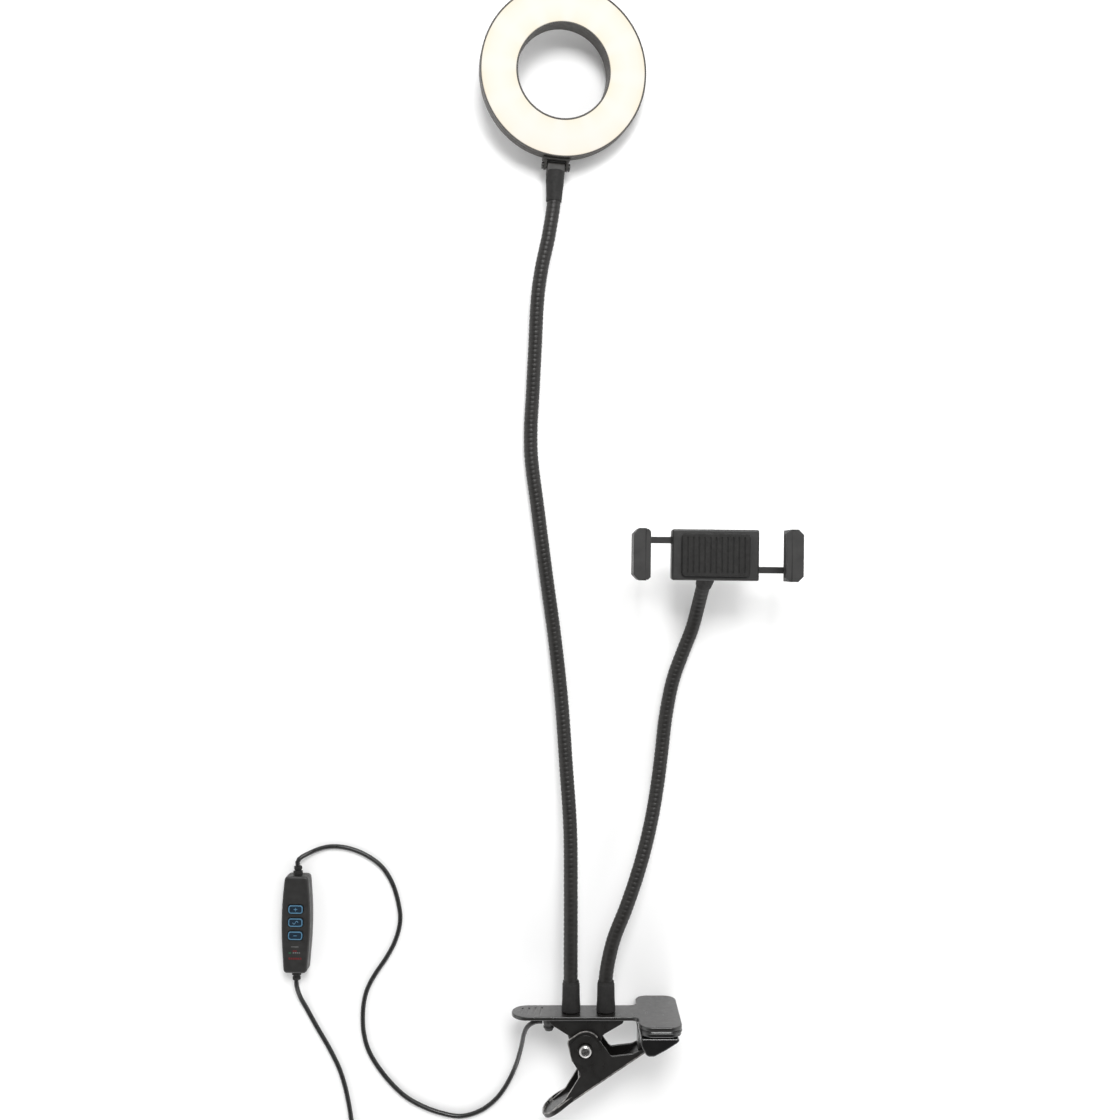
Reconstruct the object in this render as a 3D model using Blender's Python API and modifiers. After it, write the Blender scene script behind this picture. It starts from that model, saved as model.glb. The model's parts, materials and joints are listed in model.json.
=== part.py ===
"""Clip-on ring light: a spring clip, two goosenecks, a tilting ring head, a phone holder and a USB lead.

The light lies on its side on a flat surface at Z = 0, with the ring's face up. Lengths are in metres.
"""

import math

import bmesh
import bpy
from mathutils import Matrix, Vector

MM = 0.001
GAP = 0.3 * MM
SMOOTH_ANGLE = math.radians(35)
FLAT_ANGLE = math.radians(0.2)

# Where the layout's zero lies in the finished frame, so that the origin is under the middle of the light.
LAYOUT_SHIFT = Vector((0.38, -0.38, 0.0)) * MM

# Clip: the plate is the fixed jaw and the lever the moving one, and both hinge about Z.
CLIP_Z = 23.75 * MM
PLATE_TOP = -251.7 * MM
PLATE_THICK = 2.1 * MM
PLATE_BOTTOM = PLATE_TOP - PLATE_THICK
PLATE_LEFT = -67.5 * MM
PLATE_WIDTH = 18.0 * MM
HEAD_LEFT = 0.9 * MM
HEAD_RIGHT = 23.5 * MM
HEAD_WIDTH = 2 * CLIP_Z
PAD_THICK = 3.2 * MM
PIVOT = Vector((-27.6 * MM, -270.0 * MM, CLIP_Z))
FLANGE_MIDDLE = 5.2 * MM
FLANGE_THICK = 1.6 * MM
LEVER_MIDDLE = 7.1 * MM
LEVER_THICK = 1.4 * MM
LEVER_ANGLE = math.radians(34.0)
LEVER_WEB = -19.15 * MM
PIN_RADIUS = 2.0 * MM
BOSS_RADIUS = 6.6 * MM
GLAND_X = -47.3 * MM
GLAND_LENGTH = 8.0 * MM
GLAND_HOLE = 2.1 * MM

# Goosenecks.
NECK_RADIUS = 3.75 * MM
NECK_ROUNDNESS = 4
RING_STEPS = 44
NECK_FLOOR = NECK_RADIUS + 0.12 * MM
CUP_RADIUS = NECK_RADIUS + 0.5 * MM
BOOT_BORE = NECK_RADIUS + GAP
BOOT_RADIUS = 4.9 * MM
BOOT_LENGTH = 19.0 * MM
STUD_RADIUS = 1.9 * MM
STUD_HOLE = 2.2 * MM
LAMP_X = -35.2 * MM
PHONE_X = -16.2 * MM
LAMP_PARTS = 6
PHONE_SPLITS = (0.28, 0.53, 0.76)

# Ring head. Its own frame has Z out of the lit face and Y away from the neck.
RING_CENTRE = Vector((-39.0, 262.0, 20.75)) * MM
RING_SLOPE = (-0.141, 0.101)
RING_TURN = math.radians(3.4)
RING_RADIUS = 46.0 * MM
HOLE_RADIUS = 25.3 * MM
RING_DEPTH = 13.5 * MM
RIM_THICK = 0.7 * MM
HINGE_REACH = 50.0 * MM
HINGE_DEPTH = 7.0 * MM
NECK_DROOP = math.radians(-7.5)
TILT_PIN_RADIUS = 1.1 * MM

# Phone holder. Its own frame has Z out of the pad and X along the jaws' travel.
HOLDER_PLACE = Vector((40.9, -3.4, 0.0)) * MM
HOLDER_TURN = math.radians(-0.63)
HOLDER_BACK = 34.0 * MM
HOLDER_LENGTH = 46.0 * MM
HOLDER_WIDTH = 27.0 * MM
HOLDER_WALL = 1.6 * MM
JAW_GAP = 71.4 * MM
JAW_WIDTH = 27.2 * MM
JAW_OUTER = 44.0 * MM
RACK_LOW = 36.4 * MM
RACK_HIGH = 40.4 * MM
POST_RADIUS = 1.7 * MM
GEAR_MODULE = 1.0 * MM
GEAR_TEETH = 10
PRESSURE_ANGLE = math.radians(25.0)
TOOTH_HALF = 0.65 * MM
ADDENDUM = 0.8 * MM
DEDENDUM = 1.0 * MM
BALL_RADIUS = 5.3 * MM
SOCKET_RADIUS = 7.3 * MM
BALL_PLACE = Vector((0.0, -3.0, 26.5)) * MM
STUD_DIRECTION = Vector((0.149, 0.728, 0.669)).normalized()

# Lead and switch.
CORD_RADIUS = 1.27 * MM
CORD_FLOOR = CORD_RADIUS + 0.05 * MM
SWITCH_PLACE = Vector((-188.35, -209.2, 0.0)) * MM
SWITCH_TURN = math.radians(-0.8)
SWITCH_LENGTH = 53.8 * MM
SWITCH_WIDE = 16.6 * MM
SWITCH_NARROW = 12.9 * MM
SWITCH_SPLIT = 5.0 * MM
SWITCH_HIGH = 10.0 * MM
SWITCH_WALL = 1.5 * MM
BUTTON_PITCH = 7.3 * MM
BUTTON_START = 8.9 * MM
BUTTON_SIZE = (8.7 * MM, 4.9 * MM)
RELIEF_LENGTH = 2.4 * MM
# The coil is two layers of turns, four wide, and its last turn runs straight into the plug.
TURN_PITCH = 2.85 * MM
COIL_PLACE = Vector((-138.0, -352.0, 0.0)) * MM
COIL_OUTER_TURN = 19.4 * MM
COIL_INNER_TURN = COIL_OUTER_TURN - 3 * TURN_PITCH
COIL_HIGH = TURN_PITCH + 2 * CORD_RADIUS + 0.1 * MM
PLUG_PLACE = Vector((-117.0 * MM, COIL_PLACE.y - COIL_OUTER_TURN, 4.3 * MM))
PLUG_NECK = 8.5 * MM

FINISHES = {
    "coated_steel": ((0.035, 0.034, 0.034), 0.42, 0.3),
    "neck_coating": ((0.020, 0.019, 0.018), 0.50, 0.2),
    "black_plastic": ((0.014, 0.014, 0.014), 0.40, 0.0),
    "gloss_black": ((0.010, 0.010, 0.010), 0.18, 0.0),
    "grey_plastic": ((0.070, 0.064, 0.056), 0.48, 0.0),
    "diffuser_white": ((0.93, 0.90, 0.80), 0.55, 0.0),
    "board_white": ((0.80, 0.80, 0.78), 0.50, 0.0),
    "bright_steel": ((0.62, 0.60, 0.57), 0.28, 1.0),
    "black_rubber": ((0.022, 0.022, 0.022), 0.75, 0.0),
    "cord_sheath": ((0.015, 0.015, 0.015), 0.38, 0.0),
    "button_blue": ((0.015, 0.055, 0.13), 0.35, 0.0),
}


def clear_scene():
    for item in list(bpy.data.objects):
        bpy.data.objects.remove(item, do_unlink=True)


def make_collection(name):
    collection = bpy.data.collections.new(name)
    bpy.context.scene.collection.children.link(collection)
    return collection


def make_material(name, color, roughness, metallic):
    material = bpy.data.materials.new(name)
    material.use_nodes = True
    shader = material.node_tree.nodes["Principled BSDF"]
    shader.inputs["Base Color"].default_value = (*color, 1.0)
    shader.inputs["Roughness"].default_value = roughness
    shader.inputs["Metallic"].default_value = metallic
    return material


clear_scene()
PARTS = make_collection("ring_light")
CUTTERS = make_collection("cutters")
MATERIALS = {name: make_material(name, *values) for name, values in FINISHES.items()}


def make_empty(name, place, parent=None):
    empty = bpy.data.objects.new(name, None)
    empty.empty_display_size = 10 * MM
    PARTS.objects.link(empty)
    empty.matrix_world = Matrix.Translation(place)
    if parent:
        hang(empty, parent)
    return empty


def hang(obj, parent):
    """Parents obj and keeps it where it is."""
    bpy.context.view_layer.update()
    obj.parent = parent
    obj.matrix_parent_inverse = parent.matrix_world.inverted()


def frame(origin, x_axis, z_axis):
    """A frame whose Z is z_axis and whose X is x_axis made square to it."""
    z = Vector(z_axis).normalized()
    x = Vector(x_axis)
    x = (x - z * x.dot(z)).normalized()
    y = z.cross(x)
    turn = Matrix((x, y, z)).transposed().to_4x4()
    return Matrix.Translation(origin) @ turn


def place(name, mesh, finish, pose, helper=False):
    """Puts a mesh in the scene: as a part, or as a hidden helper for a Boolean."""
    obj = bpy.data.objects.new(name, mesh)
    obj.matrix_world = pose
    (CUTTERS if helper else PARTS).objects.link(obj)
    if helper:
        obj.hide_render = True
        obj.display_type = "WIRE"
        return obj
    mesh.materials.clear()
    mesh.materials.append(MATERIALS[finish])
    if len(mesh.polygons):
        mesh.shade_smooth()
        mesh.set_sharp_from_angle(angle=SMOOTH_ANGLE)
    return obj


def cut(obj, *cutters):
    for cutter in cutters:
        add_boolean(obj, cutter, "DIFFERENCE")
    return obj


def join(obj, *others, solver="EXACT"):
    for other in others:
        add_boolean(obj, other, "UNION", solver)
    return obj


def add_boolean(obj, other, operation, solver="EXACT"):
    modifier = obj.modifiers.new(other.name, "BOOLEAN")
    modifier.operation = operation
    modifier.solver = solver
    modifier.object = other


def bevel(obj, width, segments=2, angle=math.radians(40)):
    modifier = obj.modifiers.new("edges", "BEVEL")
    modifier.width = width
    modifier.segments = segments
    modifier.limit_method = "ANGLE"
    modifier.angle_limit = angle
    return obj


def box(name, low, high, finish=None, pose=Matrix(), edge=0.0, helper=False):
    """A block between two corners of the pose's frame."""
    low = Vector(low)
    high = Vector(high)
    bm = bmesh.new()
    bmesh.ops.create_cube(bm, size=1.0)
    size = high - low
    bmesh.ops.scale(bm, vec=size, verts=bm.verts)
    bmesh.ops.translate(bm, vec=(low + high) / 2, verts=bm.verts)
    mesh = bpy.data.meshes.new(name)
    bm.to_mesh(mesh)
    bm.free()
    obj = place(name, mesh, finish, pose, helper)
    if edge:
        bevel(obj, edge)
    return obj


def ball(name, radius, finish=None, pose=Matrix(), helper=False, sides=16, rings=10):
    bm = bmesh.new()
    bmesh.ops.create_uvsphere(bm, u_segments=sides, v_segments=rings, radius=radius)
    mesh = bpy.data.meshes.new(name)
    bm.to_mesh(mesh)
    bm.free()
    return place(name, mesh, finish, pose, helper)


def rod(name, radius, low, high, finish=None, pose=Matrix(), sides=24, helper=False):
    """A cylinder along the pose's Z, from low to high."""
    bm = bmesh.new()
    bmesh.ops.create_cone(bm, cap_ends=True, segments=sides, radius1=radius, radius2=radius, depth=high - low)
    bmesh.ops.translate(bm, vec=(0, 0, (low + high) / 2), verts=bm.verts)
    mesh = bpy.data.meshes.new(name)
    bm.to_mesh(mesh)
    bm.free()
    return place(name, mesh, finish, pose, helper)


def turned(name, profile, finish=None, pose=Matrix(), steps=24, ring=False, helper=False):
    """A profile of (radius, height) turned about the pose's Z. It runs down the outer side."""
    bm = bmesh.new()
    corners = [bm.verts.new((radius, 0, height)) for radius, height in profile]
    for first, second in zip(corners, corners[1:]):
        bm.edges.new((first, second))
    if ring:
        bm.edges.new((corners[-1], corners[0]))
    mesh = bpy.data.meshes.new(name)
    bm.to_mesh(mesh)
    bm.free()
    obj = place(name, mesh, finish, pose, helper)
    screw = obj.modifiers.new("turn", "SCREW")
    screw.axis = "Z"
    screw.steps = steps
    screw.render_steps = steps
    screw.use_merge_vertices = True
    screw.merge_threshold = 0.002 * MM
    screw.use_smooth_shade = True
    return obj


def mesh_of(curve_object, flat=False):
    """The closed mesh that a curve object makes; the curve is removed. A flat one keeps whole faces."""
    bpy.context.view_layer.update()
    graph = bpy.context.evaluated_depsgraph_get()
    mesh = bpy.data.meshes.new_from_object(curve_object.evaluated_get(graph))
    bm = bmesh.new()
    bm.from_mesh(mesh)
    bmesh.ops.remove_doubles(bm, verts=bm.verts, dist=0.002 * MM)
    if flat:
        bmesh.ops.dissolve_limit(bm, angle_limit=FLAT_ANGLE, verts=bm.verts, edges=bm.edges)
    bmesh.ops.recalc_face_normals(bm, faces=bm.faces)
    bm.to_mesh(mesh)
    bm.free()
    bpy.data.objects.remove(curve_object, do_unlink=True)
    return mesh


def extruded(name, outline, low, high, finish=None, pose=Matrix(), helper=False):
    """A flat outline in the pose's XY plane, thickened along its Z from low to high."""
    curve = bpy.data.curves.new(name, "CURVE")
    curve.dimensions = "2D"
    curve.fill_mode = "BOTH"
    curve.extrude = (high - low) / 2
    spline = curve.splines.new("POLY")
    spline.points.add(len(outline) - 1)
    for point, (x, y) in zip(spline.points, outline):
        point.co = (x, y, 0, 1)
    spline.use_cyclic_u = True
    flat = bpy.data.objects.new(name, curve)
    PARTS.objects.link(flat)
    mesh = mesh_of(flat, flat=True)
    mesh.transform(Matrix.Translation((0, 0, (low + high) / 2)))
    return place(name, mesh, finish, pose, helper)


def tube(name, points, radius, finish, resolution=2, scales=None):
    """A round tube along points, with closed ends. scales thins it point by point."""
    curve = bpy.data.curves.new(name, "CURVE")
    curve.dimensions = "3D"
    curve.bevel_depth = radius
    curve.bevel_resolution = resolution
    curve.use_fill_caps = True
    spline = curve.splines.new("POLY")
    spline.points.add(len(points) - 1)
    for index, point in enumerate(points):
        spline.points[index].co = (*point, 1)
        if scales:
            spline.points[index].radius = scales[index]
    obj = bpy.data.objects.new(name, curve)
    curve.materials.append(MATERIALS[finish])
    PARTS.objects.link(obj)
    return obj


def rounded(corners, steps=5):
    """The outline through corners of (x, y, radius), with each corner turned into an arc."""
    outline = []
    count = len(corners)
    for index, (x, y, radius) in enumerate(corners):
        here = Vector((x, y))
        if not radius:
            outline.append(here)
            continue
        before = Vector(corners[index - 1][:2])
        after = Vector(corners[(index + 1) % count][:2])
        back = (before - here).normalized()
        ahead = (after - here).normalized()
        half = back.angle(ahead) / 2
        reach = radius / math.tan(half)
        middle = here + (back + ahead).normalized() * radius / math.sin(half)
        first = here + back * reach - middle
        sweep = first.angle_signed(here + ahead * reach - middle)
        for step in range(steps + 1):
            turn = Matrix.Rotation(-sweep * step / steps, 2)
            outline.append(middle + turn @ first)
    return [tuple(point) for point in outline]


def smooth(points, steps=12):
    """Points along the smooth curve through the given ones."""
    points = [Vector(point) for point in points]
    padded = [points[0] * 2 - points[1], *points, points[-1] * 2 - points[-2]]
    curve = []
    for p0, p1, p2, p3 in zip(padded, padded[1:], padded[2:], padded[3:]):
        for step in range(steps):
            t = step / steps
            bend = (p0 * 2 - p1 * 5 + p2 * 4 - p3) * t * t + (p1 * 3 - p0 - p2 * 3 + p3) * t * t * t
            curve.append((p1 * 2 + (p2 - p0) * t + bend) / 2)
    curve.append(points[-1])
    return curve


def stretch(curve, start, end, spacing):
    """Evenly spaced points along the curve between two distances from its start."""
    marks = [0.0]
    for first, second in zip(curve, curve[1:]):
        marks.append(marks[-1] + (second - first).length)
    count = max(2, round((end - start) / spacing))
    found = []
    leg = 0
    for step in range(count + 1):
        want = start + (end - start) * step / count
        while leg < len(marks) - 2 and marks[leg + 1] < want:
            leg += 1
        share = (want - marks[leg]) / (marks[leg + 1] - marks[leg])
        found.append(curve[leg].lerp(curve[leg + 1], share))
    return found


def length_of(curve):
    return sum((second - first).length for first, second in zip(curve, curve[1:]))


# ---------------------------------------------------------------- ring head

def ring_frame():
    """The ring's own frame: Z out of its lit face, Y away from the neck."""
    across, along = RING_SLOPE
    normal = Vector((-across, -along, 1)).normalized()
    up = Vector((math.sin(RING_TURN), math.cos(RING_TURN), 0))
    up = (up - normal * up.dot(normal)).normalized()
    return frame(RING_CENTRE, up.cross(normal), normal)


RING = ring_frame()
TILT_PLACE = RING @ Vector((0, -HINGE_REACH, -HINGE_DEPTH))
TILT_AXIS = RING.to_3x3() @ Vector((1, 0, 0))
NECK_END = Matrix.Rotation(NECK_DROOP, 3, TILT_AXIS) @ (RING.to_3x3() @ Vector((0, 1, 0)))
HOLDER = Matrix.Translation(HOLDER_PLACE) @ Matrix.Rotation(HOLDER_TURN, 4, "Z")
BALL_CENTRE = HOLDER @ BALL_PLACE


def arc(centre, radius, start, end, steps):
    """Points on an arc of (radius, height), with its angles in degrees."""
    found = []
    for step in range(steps + 1):
        angle = math.radians(start + (end - start) * step / steps)
        found.append((centre[0] + radius * math.cos(angle), centre[1] + radius * math.sin(angle)))
    return found


def build_ring(joint):
    outer_lip = RING_RADIUS - RIM_THICK
    inner_lip = HOLE_RADIUS + RIM_THICK
    seat = -2.2 * MM
    ledge = -9.5 * MM
    floor = -11.9 * MM
    outer_round = 4.5 * MM
    inner_round = 1.8 * MM
    profile = [(RING_RADIUS, 0)]
    profile += arc((RING_RADIUS - outer_round, outer_round - RING_DEPTH), outer_round, 0, -90, 5)
    profile += arc((HOLE_RADIUS + inner_round, inner_round - RING_DEPTH), inner_round, -90, -180, 3)
    profile += [(HOLE_RADIUS, 0), (inner_lip, 0), (inner_lip, seat)]
    profile += [(inner_lip + 0.7 * MM, seat), (inner_lip + 0.7 * MM, ledge)]
    profile += [(inner_lip + 2.1 * MM, ledge), (inner_lip + 2.1 * MM, floor)]
    profile += [(outer_lip - 2.3 * MM, floor), (outer_lip - 2.3 * MM, ledge)]
    profile += [(outer_lip - 0.8 * MM, ledge), (outer_lip - 0.8 * MM, seat)]
    profile += [(outer_lip, seat), (outer_lip, 0)]
    housing = turned("ring_housing", profile, "grey_plastic", RING, steps=RING_STEPS, ring=True)

    def washer(name, inner, outer, low, high, finish):
        shape = [(outer, high), (outer, low), (inner, low), (inner, high)]
        return turned(name, shape, finish, RING, steps=RING_STEPS, ring=True)

    diffuser_low, diffuser_high = seat + GAP, -0.25 * MM
    diffuser = washer("ring_diffuser", inner_lip + GAP, outer_lip - GAP, diffuser_low, diffuser_high,
                      "diffuser_white")
    board_low, board_high = ledge + GAP, -7.6 * MM
    board = washer("led_board", inner_lip + 1.1 * MM, outer_lip - 1.2 * MM, board_low, board_high,
                   "board_white")
    bracket = build_bracket()
    across = RING @ Matrix.Translation((0, -HINGE_REACH, -HINGE_DEPTH)) @ Matrix.Rotation(math.pi / 2, 4, "Y")
    head_low, head_high = 7.0 * MM, 8.0 * MM
    head_radius = 1.9 * MM
    shape = [(0, head_high), (TILT_PIN_RADIUS, head_high), (TILT_PIN_RADIUS, -head_low)]
    shape += [(head_radius, -head_low), (head_radius, -head_high), (0, -head_high)]
    pin = turned("tilt_pin", shape, "bright_steel", across, steps=16)
    bore = TILT_PIN_RADIUS + GAP
    nut_radius = head_radius + 0.2 * MM
    shape = [(nut_radius, head_high), (nut_radius, head_low), (bore, head_low), (bore, head_high)]
    nut = turned("tilt_nut", shape, "bright_steel", across, steps=16, ring=True)
    for obj in (housing, diffuser, board, bracket, pin, nut):
        hang(obj, joint)


def build_bracket():
    """The block under the ring, with an ear on each side of the neck."""
    ear_inner, ear_outer = 5.4 * MM, 6.7 * MM
    ear_radius = 2.2 * MM
    half_depth = 4.5 * MM
    block_low = -HINGE_REACH + 2.7 * MM
    middle = -HINGE_DEPTH
    bracket = box("neck_bracket", (-7.6 * MM, block_low, middle - half_depth),
                  (7.6 * MM, -43.5 * MM, middle + half_depth), "grey_plastic", RING, edge=0.5 * MM)
    side = RING @ Matrix.Translation((0, -HINGE_REACH, middle)) @ Matrix.Rotation(math.pi / 2, 4, "Y")
    # In this frame X is the ring's -Z and Y its Y, from the hinge pin.
    top = 3.4 * MM
    outline = rounded([(-half_depth + 0.6 * MM, top, 0), (-ear_radius, -ear_radius, ear_radius * 0.98),
                       (ear_radius, -ear_radius, ear_radius * 0.98), (half_depth - 0.6 * MM, top, 0)])
    for name, low, high in (("ear_right", ear_inner, ear_outer), ("ear_left", -ear_outer, -ear_inner)):
        join(bracket, extruded(name, outline, low, high, pose=side, helper=True))
    clearance = rod("ring_clearance", RING_RADIUS + GAP, -20 * MM, 5 * MM, pose=RING, sides=112, helper=True)
    pin_hole = rod("tilt_pin_hole", TILT_PIN_RADIUS + GAP, -9 * MM, 9 * MM, pose=side, sides=16, helper=True)
    cut(bracket, clearance, pin_hole)
    return bracket


# ---------------------------------------------------------------- goosenecks

def lamp_route():
    top = TILT_PLACE
    return smooth([
        (LAMP_X, PLATE_TOP + 1.8 * MM, CLIP_Z),
        (LAMP_X, PLATE_TOP + 11 * MM, CLIP_Z),
        Vector((-35.4, -230.7, 23.6)) * MM,
        Vector((-35.3, -188.0, 19.8)) * MM,
        Vector((-35.6, -154.0, 15.0)) * MM,
        Vector((-37.9, -119.4, 9.8)) * MM,
        Vector((-40.4, -84.4, 5.6)) * MM,
        (-44.3 * MM, -48.7 * MM, NECK_FLOOR),
        (-49.2 * MM, -12.7 * MM, NECK_FLOOR),
        (-53.8 * MM, 23.2 * MM, NECK_FLOOR),
        (-57.2 * MM, 50.1 * MM, NECK_FLOOR),
        Vector((-57.6, 68.0, 4.0)) * MM,
        Vector((-56.6, 86.0, 4.5)) * MM,
        Vector((-55.2, 112.6, 5.9)) * MM,
        Vector((-53.8, 139.0, 7.8)) * MM,
        Vector((-51.4, 156.6, 9.1)) * MM,
        Vector((-47.6, 174.0, 10.0)) * MM,
        top - NECK_END * 21 * MM,
        top - NECK_END * 7.7 * MM,
    ])


def phone_route():
    return smooth([
        (PHONE_X, PLATE_TOP + 1.8 * MM, CLIP_Z),
        (PHONE_X, PLATE_TOP + 11 * MM, CLIP_Z),
        Vector((-15.9, -230.6, 23.4)) * MM,
        Vector((-12.0, -213.5, 22.3)) * MM,
        Vector((-5.1, -196.6, 20.4)) * MM,
        Vector((1.1, -179.8, 17.6)) * MM,
        Vector((6.3, -163.0, 14.2)) * MM,
        Vector((10.4, -146.0, 10.8)) * MM,
        Vector((13.5, -128.8, 7.8)) * MM,
        Vector((15.9, -111.3, 5.5)) * MM,
        Vector((18.1, -93.6, 4.3)) * MM,
        (22.0 * MM, -74.0 * MM, NECK_FLOOR),
        Vector((27.8, -57.5, 3.9)) * MM,
        Vector((32.8, -44.5, 4.6)) * MM,
        Vector((35.9, -31.5, 7.9)) * MM,
        BALL_CENTRE - STUD_DIRECTION * 19.5 * MM,
        BALL_CENTRE - STUD_DIRECTION * 10.8 * MM,
    ])


def arm_part(name, curve, start, end, cupped, domed):
    """One stiff stretch of a gooseneck: it starts in a hollow cup and ends in a dome."""
    pivot_in = stretch(curve, 0, start, 5 * MM)[-1] if cupped else None
    points = stretch(curve, start + 1 * MM if cupped else start, end, 9 * MM)
    scales = [1.0] * len(points)
    if domed:
        ahead = (points[-1] - points[-2]).normalized()
        pivot = points[-1]
        for angle in (25, 50, 72):
            points.append(pivot + ahead * NECK_RADIUS * math.sin(math.radians(angle)))
            scales.append(math.cos(math.radians(angle)))
    curved = tube(name, points, NECK_RADIUS, "neck_coating", NECK_ROUNDNESS, scales)
    obj = place(name, mesh_of(curved), "neck_coating", Matrix())
    if cupped:
        along = frame(pivot_in, (1, 0, 0), points[1] - points[0])
        cut(obj, ball(name + "_cup", CUP_RADIUS, pose=along, helper=True))
    return obj


def build_arm(prefix, curve, marks, root):
    """The stiff parts of one gooseneck, each turning about the ball end of the one before."""
    total = length_of(curve)
    ends = [0.0, *(total * mark for mark in marks), total]
    parent = root
    for index, (start, end) in enumerate(zip(ends, ends[1:])):
        if index:
            pivot = stretch(curve, 0, start, 5 * MM)[-1]
            parent = make_empty(f"{prefix}_bend_{index}", pivot, parent)
        last = index == len(marks)
        obj = arm_part(f"{prefix}_{index + 1}", curve, start, end, index > 0, not last)
        hang(obj, parent)
    return parent


def sleeve(name, shape, finish, pose):
    """A tube with the given outer profile and the goosenecks' bore."""
    inner = [(BOOT_BORE, shape[-1][1]), (BOOT_BORE, shape[0][1])]
    return turned(name, shape + inner, finish, pose, steps=20, ring=True)


def build_neck_base(prefix, x, root):
    """The stud, the nut under the plate and the boot that hold a gooseneck to the clip."""
    up = frame((x, PLATE_TOP, CLIP_Z), (1, 0, 0), (0, 1, 0))
    flange_low, flange_high = GAP, 1.5 * MM
    shape = [(0, flange_high), (3.4 * MM, flange_high), (3.4 * MM, flange_low), (STUD_RADIUS, flange_low)]
    shape += [(STUD_RADIUS, -6.5 * MM), (0, -6.5 * MM)]
    stud = turned(f"{prefix}_stud", shape, "bright_steel", up, steps=20)
    nut = rod(f"{prefix}_nut", 3.9 * MM, -5.4 * MM, -PLATE_THICK - GAP, "bright_steel", up, sides=6)
    cut(nut, rod(f"{prefix}_nut_bore", STUD_HOLE, -8 * MM, 0, pose=up, sides=20, helper=True))
    top = GAP + BOOT_LENGTH
    foot_radius = BOOT_RADIUS + 0.3 * MM
    shape = [(4.25 * MM, top), (4.7 * MM, top - 2 * MM), (4.75 * MM, top - 5 * MM)]
    shape += [(BOOT_RADIUS + 0.1 * MM, 5 * MM), (foot_radius, 3 * MM), (foot_radius, GAP)]
    boot = sleeve(f"{prefix}_base_boot", shape, "black_rubber", up)
    for obj in (stud, nut, boot):
        hang(obj, root)


def build_lamp_top(joint):
    """The knuckle that carries the ring's hinge pin, and the boot under it."""
    up = frame(TILT_PLACE, TILT_AXIS, NECK_END)
    eye = 2.4 * MM
    shoulder, foot = -2.8 * MM, -7.2 * MM
    radius = 5.1 * MM
    shape = [(0, shoulder), (radius - 0.4 * MM, shoulder), (radius, shoulder - 0.5 * MM)]
    shape += [(radius, foot), (0, foot)]
    knuckle = turned("tilt_knuckle", shape, "black_plastic", up, steps=24)
    side = up @ Matrix.Rotation(math.pi / 2, 4, "Y")
    # In this frame X runs down the neck and Y across it, from the hinge pin.
    round_end = eye * 0.98
    outline = rounded([(-eye, -eye, round_end), (radius, -eye, 0), (radius, eye, 0), (-eye, eye, round_end)])
    join(knuckle, extruded("knuckle_tongue", outline, -5.0 * MM, 5.0 * MM, pose=side, helper=True))
    bore = rod("knuckle_bore", TILT_PIN_RADIUS + GAP, -9 * MM, 9 * MM, pose=side, sides=16, helper=True)
    cut(knuckle, bore)
    shape = [(5.1 * MM, -7.5 * MM), (4.9 * MM, -10 * MM), (4.4 * MM, -15 * MM), (4.3 * MM, -20 * MM)]
    boot = sleeve("lamp_top_boot", shape, "black_rubber", up)
    for obj in (knuckle, boot):
        hang(obj, joint)


# ---------------------------------------------------------------- clip

def build_clip(root):
    plate = build_plate()
    flat = frame((0, PLATE_BOTTOM - GAP, 0), (1, 0, 0), (0, -1, 0))
    inset = 0.5 * MM
    # In this frame Y is the part's Z.
    low, high = inset, HEAD_WIDTH - inset
    corner = 6.0 * MM
    outline = rounded([(HEAD_LEFT + inset, low, corner), (HEAD_RIGHT - inset, low, corner),
                       (HEAD_RIGHT - inset, high, corner), (HEAD_LEFT + inset, high, corner)])
    pad = extruded("upper_jaw_pad", outline, 0, PAD_THICK, "gloss_black", flat)
    axle = Matrix.Translation(PIVOT)
    outside = LEVER_MIDDLE + LEVER_THICK / 2 + 0.8 * MM + GAP
    head_radius = 3.6 * MM
    shape = [(0, outside + 2.0 * MM), (2.6 * MM, outside + 1.9 * MM), (head_radius, outside + 1.0 * MM)]
    shank_end = -outside - 2.4 * MM
    shape += [(head_radius, outside), (PIN_RADIUS, outside), (PIN_RADIUS, shank_end), (0, shank_end)]
    pin = turned("pivot_pin", shape, "bright_steel", axle, steps=24)
    nut = rod("pivot_nut", 4.0 * MM, -outside - 2.0 * MM, -outside, "bright_steel", axle, sides=6)
    cut(nut, rod("pivot_nut_bore", PIN_RADIUS + GAP, -outside - 4 * MM, 0, pose=axle, sides=20, helper=True))
    gland = build_gland()
    spring = build_clip_spring()
    for obj in (plate, pad, pin, nut, gland, spring):
        hang(obj, root)


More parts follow.
